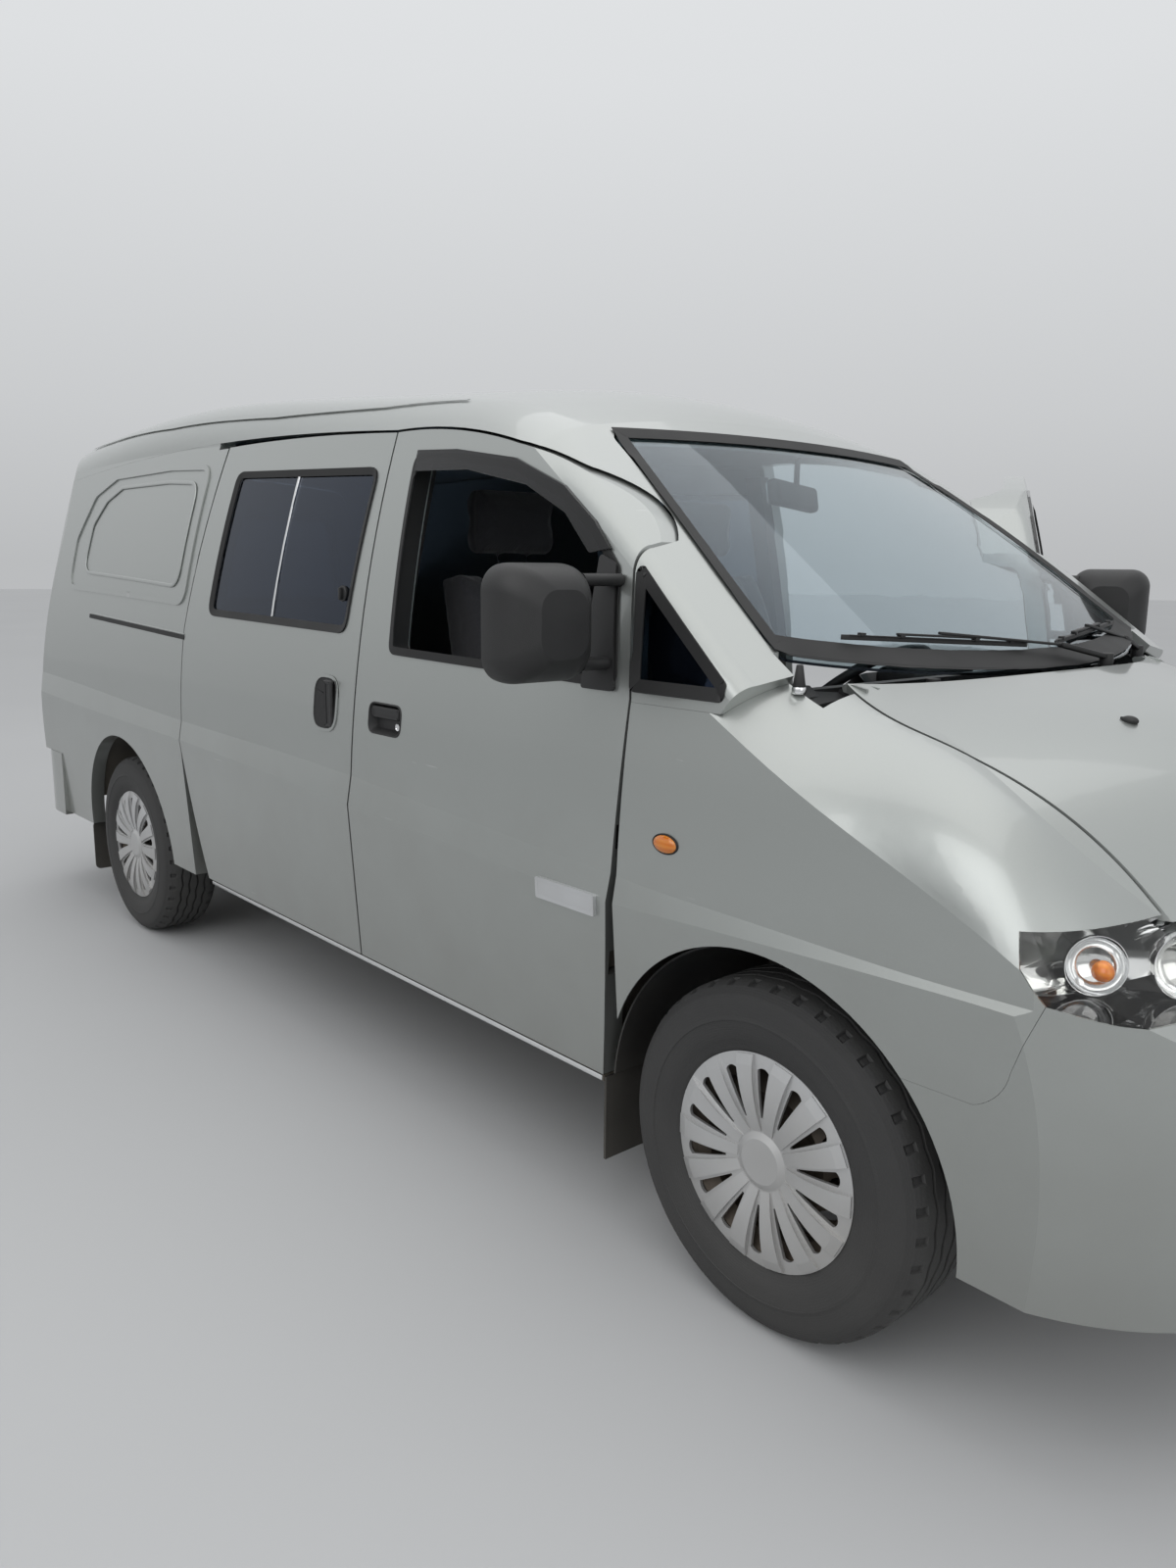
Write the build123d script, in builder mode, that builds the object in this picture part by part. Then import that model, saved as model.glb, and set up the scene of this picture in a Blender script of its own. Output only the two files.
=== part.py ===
"""A long silver panel van fitted out as a camper: body panels, glass, doors, running gear and fittings.

Millimetres. +X is forward, +Z up, and the driver sits on the +Y side. The origin is on the ground,
on the centre plane, midway between the axles. Every piece of the body is cut from three smooth
skins (roof, windscreen and nose), each lofted through the cross-sections of one short table.
"""
import math
import os

from build123d import *

os.makedirs("parts", exist_ok=True)

# Driving sizes
wheelbase = 3080
front_axle_x = wheelbase / 2
rear_axle_x = -wheelbase / 2
nose_x = 2390
tail_x = -2645
tyre_radius = 330
tyre_width = 205
rim_radius = 190
front_wheel_y = 785
rear_wheel_y = 775
steering_axis_y = 700

# Walls, gaps and clearances
door_wall = 50
bonnet_wall = 14
roof_wall = 30
sheet = 3
shut_gap = 6.5
slide_gap = 5
seam = 0.4
running_gap = 0.4
glass_thickness = 5
glass_sink = 6

# Side of the body, seen in cross-section: a flared lower panel, a ledge and one long arc above it
sill_z = 340
sill_y = 880
ledge_y = 910
side_radius = 3500
side_centre_z = 632
side_max_y = 903.5
floor_z = 500
bumper_low_z = 305
tail_panel_z = 590
bumper_front_x = -2240
tail_lamp_depth = 250
floor_thickness = 50

# Doors, seen from the side
door_front_x = 1170
door_rear_x = 155
slide_rear_x = -940
hinge_x = 1112
hinge_y = 878
left_door_angle = 63

# Front end, bonnet and lamps
lamp_depth = 130
grille_depth = 34
grille_low_z = 762
grille_high_z = 862
cowl_drop = 28
bonnet_hinge_x = 1484
bonnet_hinge_z = 1160
bonnet_hinge_y = 596
bonnet_pin_radius = 4

# Door hinges and handles
door_hinge_heights = (600, 860)
hinge_height = 50
hinge_pin_radius = 5
handle_z = 1000
floor_edge_y = 832

# Door mirrors. Columns: x, middle y, width, height, corner radius
mirror_rows = [
    (1040, 1018, 204, 218, 50),
    (1126, 1014, 172, 186, 46),
    (1150, 1010, 112, 126, 38),
]
mirror_z = 1272
mirror_arm_heights = (1352, 1192)
trim_thickness = 8

# Tailgate
tailgate_hinge_x = -2580
tailgate_hinge_z = 1764
tailgate_hinge_y = 250
tailgate_pin_radius = 5
tailgate_window = [(-600, 1190), (600, 1190), (548, 1600), (-548, 1600)]

# Wheels, hubs and brakes
cover_radius = 201
cover_spokes = 14
hub_radius = 30
hub_face = 34
ball_radius = 11
arm_low_z = 222
arm_high_z = 428

# Chassis
rail_y = 420
rail_width = 60
spring_y = 528
spring_front_x = -930
spring_rear_x = -2150
spring_eye_z = 416
tow_eye_radius = 20
tow_eye_z = 270
tow_eye_wall = 14
prop_radius = 32
exhaust_y = 352
exhaust_z = 396
spare_x = -2210

# Cab
steering_y = 370
steering_radius = 195
steering_hub = (830, steering_y, 1035)
steering_direction = (-math.cos(math.radians(52)), 0, math.sin(math.radians(52)))
seat_x = 500
seat_base_height = 210
cushion_z = floor_z + seat_base_height + 16.3
cushion_thickness = 130

# Load space
bed_z = 790
bed_rear_x = -2520
bed_front_x = -760
bed_y = 690
mattress_thickness = 110
cabinet_x = -260
cabinet_length = 720
cabinet_height = 620

# Windscreen wipers. Columns: pivot x, pivot y, then the two ends of the blade
wiper_pivot_z = 1172
wiper_rows = [
    (1542, -420, (1533, -60, 1227), (1426, -560, 1254)),
    (1594, 180, (1533, 60, 1227), (1426, 560, 1254)),
]


def side_y(z, inset=0.0):
    """Half width of the body at height z above the ledge."""
    return side_max_y - side_radius + math.sqrt((side_radius - inset) ** 2 - (z - side_centre_z) ** 2)


# Cross-sections. Columns: x, ledge bottom z, ledge top z, drip z, shoulder y, shoulder z, crown z
header_x = 745
roof_rows = [
    (-2750, 840, 932, 1690, 545, 1800, 1858),
    (-2140, 827, 908, 1740, 560, 1878, 1944),
    (-1500, 812, 884, 1754, 560, 1906, 1965),
    (-850, 800, 862, 1745, 560, 1890, 1948),
    (140, 764, 839, 1714, 565, 1812, 1869),
    (470, 752, 822, 1688, 575, 1770, 1829),
    (header_x, 740, 809, 1626, 615, 1686, 1732),
]
screen_rows = [
    (header_x, 740, 809, 1626, 615, 1686, 1732),
    (1000, 732, 796, 1462, 745, 1506, 1572),
    (1250, 734, 786, 1282, 790, 1322, 1404),
    (1460, 746, 778, 1120, 822, 1160, 1262),
    (1660, 756, 774, 990, 822, 1030, 1126),
]
nose_rows = [
    (1176, 732, 789, 1200, 720, 1330, 1370),
    (1400, 743, 779, 1112, 725, 1196, 1240),
    (1580, 750, 776, 1020, 640, 1138, 1188),
    (1800, 758, 772, 925, 695, 1080, 1152),
    (2060, 762, 776, 800, 690, 915, 1085),
    (2440, 660, 676, 716, 660, 772, 815),
]

# Plan outlines that round the nose and the tail. Columns: z, half width, nose x, tail x
plan_rows = [
    (150, 905, nose_x - 45, tail_x + 40),
    (480, 925, nose_x, tail_x + 3),
    (850, 925, nose_x - 22, tail_x + 3),
    (1300, 845, nose_x - 150, tail_x + 25),
    (1700, 742, nose_x - 380, tail_x + 60),
    (2050, 620, nose_x - 600, tail_x + 150),
]
nose_corner = 430
nose_sweep = 2300
tail_corner = 250
tail_sweep = 3600

def section(row, inset, top_inset, bottom_z):
    """One closed cross-section of the body, to be called inside a BuildLine block."""
    x, ledge_low, ledge_high, drip, shoulder_y, shoulder_z, crown = row
    slope = (ledge_y - sill_y) / (770 - sill_z)
    for side in (1, -1):
        low = (side * (sill_y + slope * (bottom_z - sill_z) - inset), bottom_z)
        bottom = (side * (ledge_y - inset), ledge_low)
        top = (side * side_y(ledge_high, inset), ledge_high)
        middle_z = (ledge_high + drip) / 2
        middle = (side * side_y(middle_z, inset), middle_z)
        lift = 0.45 * min(top_inset, 30)
        edge = (side * side_y(drip - lift, inset), drip - lift)
        lean = (side_y(drip) - shoulder_y, shoulder_z - drip)
        bulge = 0.207 * min(1.0, lean[1] / lean[0])
        bend = (side_y(drip) - (0.5 - bulge) * lean[0], drip + (0.5 + bulge) * lean[1])
        shoulder = (side * (shoulder_y - 0.7 * inset), shoulder_z - top_inset)
        Line((0, bottom_z), low)
        Line(low, bottom)
        Line(bottom, top)
        ThreePointArc(top, middle, edge)
        ThreePointArc(edge, (side * (bend[0] - 0.9 * inset), bend[1] - 0.8 * top_inset), shoulder)
    outer_y = shoulder_y - 0.7 * inset
    rise = crown - shoulder_z
    ThreePointArc((-outer_y, shoulder_z - top_inset), (0, crown - top_inset), (outer_y, shoulder_z - top_inset))


def skin(rows, inset, top_inset, bottom_z):
    """A solid lofted through the cross-sections of one table, inset from the outer skin."""
    with BuildPart() as body:
        for row in rows:
            with BuildSketch(Plane(origin=(row[0], 0, 0), x_dir=(0, 1, 0), z_dir=(1, 0, 0))):
                with BuildLine():
                    section(row, inset, top_inset, bottom_z)
                make_face()
        loft()
    return body.part


def plan_outline(half_width, front, back, inset):
    """A closed outline seen from above, with round corners and gently bowed ends."""
    side = half_width - inset
    front = front - inset
    back = back + inset
    ends = []
    for tip, sign, corner, sweep in ((front, 1, nose_corner, nose_sweep), (back, -1, tail_corner, tail_sweep)):
        corner = corner - inset
        corner_y = side - corner
        sweep_x = tip - sign * sweep
        corner_x = sweep_x + sign * math.sqrt((sweep - corner) ** 2 - corner_y ** 2)
        scale = sweep / (sweep - corner)
        touch = (sweep_x + (corner_x - sweep_x) * scale, corner_y * scale)
        half = (touch[0] - corner_x, touch[1] - corner_y + corner)
        length = math.hypot(*half)
        bend = (corner_x + corner * half[0] / length, corner_y + corner * half[1] / length)
        ends.append((tip, touch, bend, corner_x))
    for tip, touch, bend, corner_x in ends:
        ThreePointArc((touch[0], -touch[1]), (tip, 0), touch)
        for sign in (1, -1):
            ThreePointArc((touch[0], sign * touch[1]), (bend[0], sign * bend[1]), (corner_x, sign * side))
    for sign in (1, -1):
        Line((ends[0][3], sign * side), (ends[1][3], sign * side))


def plan_solid(inset):
    with BuildPart() as body:
        for z, half_width, front, back in plan_rows:
            with BuildSketch(Plane.XY.offset(z)):
                with BuildLine():
                    plan_outline(half_width, front, back, inset)
                make_face()
        loft()
    return body.part


def rounded_skin(rows, inset, top_inset, bottom_z):
    with BuildPart() as body:
        add(skin(rows, inset, top_inset, bottom_z))
        add(plan_solid(inset), mode=Mode.INTERSECT)
    return body.part


# The three skins, the same skins set in by the wall thickness, and the walls between them
roof_skin = rounded_skin(roof_rows, 0, 0, sill_z)
screen_skin = rounded_skin(screen_rows, 0, 0, sill_z)
nose_skin = rounded_skin(nose_rows, 0, 0, bumper_low_z)
roof_lining = rounded_skin(roof_rows, door_wall, roof_wall, sill_z - 20)
screen_lining = rounded_skin(screen_rows, door_wall, roof_wall, sill_z - 20)
nose_back = rounded_skin(nose_rows, sheet, sheet, bumper_low_z - 20)
bonnet_back = rounded_skin(nose_rows, bonnet_wall, bonnet_wall, bumper_low_z - 20)

with BuildPart() as main_wall:
    add(roof_skin)
    add(roof_lining, mode=Mode.SUBTRACT)
with BuildPart() as screen_wall:
    add(screen_skin)
    add(screen_lining, mode=Mode.SUBTRACT)
with BuildPart() as cabin_wall:
    add(main_wall.part)
    add(screen_wall.part)
with BuildPart() as fender_wall:
    add(nose_skin)
    add(nose_back, mode=Mode.SUBTRACT)
with BuildPart() as floor_form:
    add(rounded_skin(roof_rows, door_wall + seam, roof_wall + seam, sill_z))
    add(rounded_skin(screen_rows, door_wall + seam, roof_wall + seam, sill_z))


def face(start, *moves, corner=0.0, grow=0.0):
    """A closed flat shape: each move is a point to go straight to, or a pair of points for an arc."""
    with BuildSketch() as shape:
        here = start
        with BuildLine():
            for move in moves:
                if isinstance(move[0], tuple):
                    ThreePointArc(here, move[0], move[1])
                    here = move[1]
                else:
                    Line(here, move)
                    here = move
            if here != start:
                Line(here, start)
        make_face()
        if corner:
            fillet(vertices(), corner)
        if grow:
            offset(amount=grow)
    return shape.sketch


right_side = Plane.XZ.offset(480)
side_reach = 520

# Body outlines seen from the side, in x and z
door_low_z = 352
seam_rear = (tail_x - 105, 1662)
seam_middle = (-1400, 1752)
seam_front = (door_rear_x, 1712)
pillar_foot = (1405, 1124)


def seam_z(x):
    """Height of the seam between the roof and the side: one arc through the three seam points."""
    (x1, z1), (x2, z2), (x3, z3) = seam_rear, seam_middle, seam_front
    a = ((x2 - x1) * (x2 + x1) + (z2 - z1) * (z2 + z1)) / 2
    b = ((x3 - x1) * (x3 + x1) + (z3 - z1) * (z3 + z1)) / 2
    scale = (x2 - x1) * (z3 - z1) - (x3 - x1) * (z2 - z1)
    centre_x = (a * (z3 - z1) - b * (z2 - z1)) / scale
    centre_z = ((x2 - x1) * b - (x3 - x1) * a) / scale
    return centre_z + math.sqrt((x1 - centre_x) ** 2 + (z1 - centre_z) ** 2 - (x - centre_x) ** 2)


pillar_toe = (1478, 1222)


def front_door_shape(grow=0.0):
    rear = door_rear_x + shut_gap / 2
    return face(
        (rear, door_low_z),
        (door_front_x - 46, door_low_z),
        ((door_front_x - 14, 740), (door_front_x, 1130)),
        (1120, 1425),
        ((907, 1566), (682, 1642)),
        ((400, 1694), (rear, 1706)),
        grow=grow,
    )


def sliding_door_shape(grow=0.0):
    front = door_rear_x - shut_gap / 2
    return face(
        (front, door_low_z),
        (front, 1706),
        ((-350, 1731), (-858, 1737)),
        (slide_rear_x - 24, 1168),
        ((slide_rear_x + 6, 760), (slide_rear_x + 112, door_low_z)),
        grow=grow,
    )


front_window = [(306, 1165), (276, 1640), (456, 1630), (690, 1596), (880, 1528), (1000, 1452), (1088, 1372), (1128, 1150)]
slide_window = [(-786, 1216), (-738, 1652), (108, 1620), (76, 1200)]
quarter_window = [(1168, 1146), (1140, 1372), (1400, 1176), (1400, 1146)]
arch_radius = 415
front_arch_radius = 398
tailgate_low_z = 596
tailgate_depth = 340
tailgate_top_z = 1760


def tail_lamp_shape():
    """Both tail lamps' outlines seen from behind."""
    with BuildSketch() as lamps:
        for side in (1, -1):
            with Locations((side * 825, 1000)):
                Rectangle(150, 310)
    return lamps.sketch


def tailgate_shape(grow=0.0):
    """The tailgate's outline seen from behind, in y and z."""
    return face(
        (-722, tailgate_low_z),
        (722, tailgate_low_z),
        (738, 1080),
        ((695, 1420), (575, 1718)),
        ((0, tailgate_top_z), (-575, 1718)),
        ((-695, 1420), (-738, 1080)),
        corner=64,
        grow=grow,
    )


def windscreen_shape(grow=0.0):
    """The windscreen's outline seen from above."""
    return face(
        (772, 574),
        ((824, 0), (772, -574)),
        (1402, -726),
        ((1584, 0), (1402, 726)),
        corner=45,
        grow=grow,
    )


# Roof skin, windscreen pillars and headers
with BuildPart() as roof_panel:
    add(cabin_wall.part)
    with BuildSketch(Plane.XZ.offset(-1000)):
        add(
            face(
                (tail_x - 105, 2100),
                seam_rear,
                (seam_middle, seam_front),
                (door_rear_x, 1124),
                pillar_foot,
                pillar_toe,
                (1478, 2100),
            )
        )
    extrude(amount=2000, mode=Mode.INTERSECT)
    for plane in (right_side, Plane.XZ.offset(-1000)):
        with BuildSketch(plane):
            add(front_door_shape(shut_gap))
        extrude(amount=side_reach, mode=Mode.SUBTRACT)
        with BuildSketch(plane):
            add(face(*quarter_window, corner=14, grow=seam))
        extrude(amount=side_reach, mode=Mode.SUBTRACT)
    for plane in (Plane.XZ.offset(620), Plane.XZ.offset(-1000)):
        with BuildSketch(plane):
            add(sliding_door_shape(slide_gap))
        extrude(amount=380, mode=Mode.SUBTRACT)
    with BuildSketch(Plane.XY.offset(1000)):
        add(windscreen_shape(seam))
        add(face((1402, -728), (1700, -728), (1700, 728), (1402, 728)))
    extrude(amount=800, mode=Mode.SUBTRACT)
    with BuildSketch(Plane.YZ.offset(tail_x - 105)):
        add(tailgate_shape(shut_gap))
    extrude(amount=tailgate_depth, mode=Mode.SUBTRACT)
    for side in (1, -1):
        with BuildSketch(Plane.XZ.offset(-side * tailgate_hinge_y - 12)):
            with Locations((tailgate_hinge_x, tailgate_hinge_z)):
                Circle(9)
            add(
                face(
                    (tailgate_hinge_x + 4, tailgate_hinge_z - 2),
                    (tailgate_hinge_x + 30, tailgate_hinge_z + 2),
                    (tailgate_hinge_x + 34, tailgate_hinge_z + 28),
                    (tailgate_hinge_x + 14, tailgate_hinge_z + 28),
                    (tailgate_hinge_x - 6, tailgate_hinge_z + 6),
                )
            )
            with Locations((tailgate_hinge_x, tailgate_hinge_z)):
                Circle(tailgate_pin_radius + running_gap, mode=Mode.SUBTRACT)
        extrude(amount=24)

# Body side behind the sliding door, and the whole side on the left
def body_side(right):
    """One fixed side of the load space, with its wheel arch, pressed panel and window or door gap."""
    front = slide_rear_x if right else door_rear_x - shut_gap / 2
    with BuildPart() as panel:
        add(main_wall.part)
        with BuildSketch(right_side):
            add(
                face(
                    (front, seam_z(front) - seam),
                    ((-1900, seam_z(-1900) - seam), (seam_rear[0], seam_rear[1] - seam)),
                    (tail_x - 105, tail_panel_z),
                    (bumper_front_x, tail_panel_z),
                    (bumper_front_x, sill_z),
                    (front, sill_z),
                )
            )
        extrude(amount=side_reach, mode=Mode.INTERSECT)
        with BuildSketch(right_side):
            with Locations((rear_axle_x, tyre_radius)):
                Circle(arch_radius)
        extrude(amount=side_reach, mode=Mode.SUBTRACT)
        with BuildSketch(Plane.YZ.offset(tail_x - 105)):
            add(tailgate_shape(shut_gap))
        extrude(amount=tailgate_depth, mode=Mode.SUBTRACT)
        with BuildSketch(Plane.YZ.offset(tail_x - 105)):
            add(tail_lamp_shape())
        extrude(amount=tail_lamp_depth, mode=Mode.SUBTRACT)
        if right:
            with BuildSketch(right_side):
                add(sliding_door_shape(slide_gap))
            extrude(amount=side_reach, mode=Mode.SUBTRACT)
        else:
            with BuildSketch(right_side):
                add(face(*slide_window, corner=30))
            extrude(amount=side_reach, mode=Mode.SUBTRACT)
    return panel.part


body_side_right = body_side(True)
body_side_left = body_side(False).mirror(Plane.XZ)

with BuildPart() as sliding_door:
    add(main_wall.part)
    with BuildSketch(right_side):
        add(sliding_door_shape())
    extrude(amount=side_reach, mode=Mode.INTERSECT)
    with BuildSketch(right_side):
        add(face(*slide_window, corner=30))
    extrude(amount=side_reach, mode=Mode.SUBTRACT)
    with BuildSketch(Plane.XY.offset(floor_z - 44)):
        with Locations((90, -floor_edge_y - 7.3), (-780, -floor_edge_y - 7.3)):
            Rectangle(60, 14)
    extrude(amount=30)

# Window panes, each just inside its opening
pane_skins = []
for rows in (roof_rows, screen_rows):
    with BuildPart() as pane_skin:
        add(skin(rows, glass_sink, glass_sink, sill_z))
        add(skin(rows, glass_sink + glass_thickness, glass_sink + glass_thickness, sill_z - 5), mode=Mode.SUBTRACT)
    pane_skins.append(pane_skin.part)

with BuildPart() as windscreen:
    add(pane_skins[1])
    with BuildSketch(Plane.XY.offset(1000)):
        add(windscreen_shape())
    extrude(amount=800, mode=Mode.INTERSECT)

with BuildPart() as side_windows:
    for pane, outline, corner in ((pane_skins[0], slide_window, 30), (pane_skins[1], quarter_window, 14)):
        with BuildPart(mode=Mode.PRIVATE) as pieces:
            add(pane)
            with BuildSketch(Plane.XZ.offset(-side_reach - 480)):
                add(face(*outline, corner=corner, grow=-seam))
            extrude(amount=2 * side_reach + 960, mode=Mode.INTERSECT)
        add(pieces.part)

# Front end: fenders, bonnet, cowl, bumper, grille and lamps
bumper_seam = [(1700, 600), (1954, 604), ((1992, 632), (2012, 676)), (2050.4, 783.5)]
lamp_low = [(2050, 784), (2128, 770), (2480, 756)]
lamp_rear = [(1994, 876), (2009, 828)]
lamp_top_z = 882
grille_y = 416
bonnet_nose_z = 872


def bonnet_shape(grow=0.0):
    """The bonnet's outline seen from above."""
    return face(
        (1487, 618),
        ((1812, 694), (2078, 660)),
        (2480, 520),
        (2480, -520),
        (2078, -660),
        ((1812, -694), (1487, -618)),
        ((1634, 0), (1487, 618)),
        grow=grow,
    )


with BuildPart() as bonnet:
    add(nose_skin)
    add(bonnet_back, mode=Mode.SUBTRACT)
    with BuildSketch(Plane.XY.offset(bonnet_nose_z)):
        add(bonnet_shape())
    extrude(amount=500, mode=Mode.INTERSECT)
    for side in (1, -1):
        with BuildSketch(Plane.XZ.offset(-side * bonnet_hinge_y - 18)):
            with Locations((bonnet_hinge_x, bonnet_hinge_z)):
                Circle(bonnet_pin_radius)
        extrude(amount=36)
        for end in (-21, 14):
            with BuildSketch(Plane.XZ.offset(-side * bonnet_hinge_y + end)):
                add(
                    face(
                        (bonnet_hinge_x - 5, bonnet_hinge_z - 6),
                        (bonnet_hinge_x + 46, bonnet_hinge_z - 18),
                        (bonnet_hinge_x + 46, bonnet_hinge_z + 2),
                        (bonnet_hinge_x + 16, bonnet_hinge_z + 8),
                        (bonnet_hinge_x - 3, bonnet_hinge_z + 7),
                        (bonnet_hinge_x - 8, bonnet_hinge_z + 2),
                    )
                )
            extrude(amount=7)

with BuildPart() as front_fenders:
    add(fender_wall.part)
    with BuildSketch(Plane.XZ.offset(-1000)):
        add(
            face(
                (door_front_x - 60, sill_z + 4),
                (door_front_x - 60, pillar_foot[1] - seam),
                (pillar_foot[0], pillar_foot[1] - seam),
                (pillar_toe[0] + seam, pillar_toe[1]),
                (2300, pillar_toe[1]),
                (2300, lamp_top_z + seam),
                (2104, lamp_top_z + seam),
                (lamp_rear[0][0] - seam, lamp_rear[0][1]),
                (lamp_rear[1][0] - seam, lamp_rear[1][1]),
                (bumper_seam[3][0] - 1, bumper_seam[3][1] + 0.3),
                (bumper_seam[2][1][0] - seam, bumper_seam[2][1][1] + seam),
                ((bumper_seam[2][0][0] - seam, bumper_seam[2][0][1] + seam), (bumper_seam[1][0], bumper_seam[1][1] + seam)),
                (1700, bumper_seam[0][1] + seam),
                (1500, sill_z + 4),
            )
        )
    extrude(amount=2000, mode=Mode.INTERSECT)
    with BuildSketch(Plane.XY.offset(bonnet_nose_z - 60)):
        add(bonnet_shape(shut_gap))
    extrude(amount=600, mode=Mode.SUBTRACT)
    with BuildSketch(Plane.XY.offset(bonnet_nose_z - 60)):
        Rectangle(3040, 1456)
        Rectangle(3300, 1120)
    extrude(amount=600, mode=Mode.SUBTRACT)
    with BuildSketch(Plane.XZ.offset(-1000)):
        with Locations((front_axle_x, tyre_radius)):
            Circle(front_arch_radius)
        add(front_door_shape(shut_gap))
    extrude(amount=2000, mode=Mode.SUBTRACT)

with BuildPart() as front_bumper:
    add(fender_wall.part)
    with BuildSketch(Plane.XZ.offset(-1000)):
        add(
            face(
                (1700, bumper_low_z - 10),
                bumper_seam[0],
                bumper_seam[1],
                bumper_seam[2],
                bumper_seam[3],
                (lamp_low[1][0], lamp_low[1][1] - seam),
                (lamp_low[2][0], lamp_low[2][1] - seam),
                (2480, bumper_low_z - 10),
            )
        )
    extrude(amount=2000, mode=Mode.INTERSECT)
    with BuildSketch(Plane.XZ.offset(-1000)):
        with Locations((front_axle_x, tyre_radius)):
            Circle(front_arch_radius)
    extrude(amount=2000, mode=Mode.SUBTRACT)
    with BuildSketch(Plane.YZ.offset(2200)):
        with Locations(*[(0, 400 + 44 * row) for row in range(4)]):
            SlotOverall(640, 28)
    extrude(amount=300, mode=Mode.SUBTRACT)

lamp_back = plan_solid(lamp_depth)

with BuildPart() as headlamps:
    add(nose_skin)
    with BuildSketch(Plane.XZ.offset(-1000)):
        add(
            face(
                lamp_rear[0],
                lamp_rear[1],
                lamp_low[0],
                lamp_low[1],
                lamp_low[2],
                (2480, lamp_top_z - 12),
                (2104, lamp_top_z),
            )
        )
    extrude(amount=2000, mode=Mode.INTERSECT)
    add(lamp_back, mode=Mode.SUBTRACT)
    with BuildSketch(Plane.XY.offset(700)):
        Rectangle(6000, 2 * (grille_y + seam))
    extrude(amount=300, mode=Mode.SUBTRACT)
    with BuildSketch(Plane.XY.offset(bonnet_nose_z - shut_gap)):
        add(bonnet_shape(shut_gap))
    extrude(amount=100, mode=Mode.SUBTRACT)

with BuildPart() as grille:
    add(nose_skin)
    with BuildSketch(Plane.YZ.offset(2150)):
        with Locations((0, (grille_low_z + grille_high_z) / 2)):
            Rectangle(2 * grille_y, grille_high_z - grille_low_z)
    extrude(amount=350, mode=Mode.INTERSECT)
    add(plan_solid(grille_depth), mode=Mode.SUBTRACT)
    with BuildSketch(Plane.YZ.offset(2150)):
        for column in (-1, 1):
            for row in range(3):
                with Locations((column * grille_y / 2, grille_low_z + 22 + 26 * row)):
                    SlotOverall(grille_y - 44, 17)
    extrude(amount=350, mode=Mode.SUBTRACT)

with BuildPart() as cowl:
    add(nose_back)
    add(bonnet_back, mode=Mode.SUBTRACT)
    with BuildSketch(Plane.XY.offset(900)):
        add(
            face(
                (1404, 722),
                (1474, 700),
                (1480, 624),
                ((1634 - shut_gap, 0), (1480, -624)),
                (1474, -700),
                (1404, -722),
                ((1586, 0), (1404, 722)),
            )
        )
    extrude(amount=500, mode=Mode.INTERSECT)
cowl_panel = Pos(0, 0, -cowl_drop) * cowl.part
with BuildPart() as cowl:
    add(cowl_panel)
    for side in (1, -1):
        with BuildSketch(Plane.XZ.offset(side * bonnet_hinge_y - 12)):
            add(
                face(
                    (1462, bonnet_hinge_z - 26),
                    (bonnet_hinge_x + 7, bonnet_hinge_z - 26),
                    (bonnet_hinge_x + 7, bonnet_hinge_z),
                    ((bonnet_hinge_x, bonnet_hinge_z + 7), (bonnet_hinge_x - 7, bonnet_hinge_z)),
                    (1462, bonnet_hinge_z - 4),
                )
            )
            with Locations((bonnet_hinge_x, bonnet_hinge_z)):
                Circle(bonnet_pin_radius + running_gap, mode=Mode.SUBTRACT)
        extrude(amount=24)
    # Cross bar between the windscreen pillars, with a link to each end of the cowl
    with BuildSketch(Plane.XZ.offset(-813.9)):
        add(face((1372, 1130), (1400, 1130), (1400, 1150), (1372, 1150)))
    extrude(amount=2 * 813.9)
    for side in (1, -1):
        with BuildSketch(Plane.XZ.offset(-side * 680 - 24)):
            add(face((1390, 1130), (1456, 1130), (1456, 1146), (1432, 1164), (1390, 1164)))
        extrude(amount=48)
    # Wiper bosses
    for x, y, _, _ in wiper_rows:
        with BuildSketch(Plane.XY.offset(1128)):
            with Locations((x, y)):
                Circle(13)
        extrude(amount=wiper_pivot_z - 1128)

# Doors
def front_door_body():
    """The right front door, shut, with its window cut out and its hinge pockets and pins."""
    with BuildPart() as door:
        add(cabin_wall.part)
        with BuildSketch(right_side):
            add(front_door_shape())
        extrude(amount=side_reach, mode=Mode.INTERSECT)
        with BuildSketch(right_side):
            add(face(*front_window, corner=26))
        extrude(amount=side_reach, mode=Mode.SUBTRACT)
        with BuildSketch(Plane.XY.offset(1300)):
            add(windscreen_shape(shut_gap))
        extrude(amount=400, mode=Mode.SUBTRACT)
        for z in door_hinge_heights:
            with BuildSketch(Plane.XY.offset(z - hinge_height / 2)):
                with Locations((hinge_x + 30, -hinge_y + 30)):
                    Rectangle(100, 84)
            extrude(amount=hinge_height, mode=Mode.SUBTRACT)
            with BuildSketch(Plane.XY.offset(z - hinge_height / 2)):
                with Locations((hinge_x, -hinge_y)):
                    Circle(hinge_pin_radius)
            extrude(amount=hinge_height)
        with BuildSketch(Plane.XZ.offset(side_y(handle_z) - 24)):
            with Locations((305, handle_z)):
                RectangleRounded(150, 76, 24)
        extrude(amount=60, mode=Mode.SUBTRACT)
    return door.part


# Mirrors and wind deflectors ride on the doors: both are cut from a layer just outside the skin
with BuildPart() as trim_layer:
    for rows in (roof_rows, screen_rows):
        with BuildPart(mode=Mode.PRIVATE) as layer:
            add(skin(rows, -trim_thickness, -trim_thickness, sill_z))
            add(skin(rows, -seam, -seam, sill_z - 5), mode=Mode.SUBTRACT)
            with BuildSketch(right_side.offset(100)):
                add(face((240, 1130), (1200, 1130), (1200, 1500), (900, 1700), (240, 1700)))
            extrude(amount=side_reach, mode=Mode.INTERSECT)
        add(layer.part)

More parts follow.
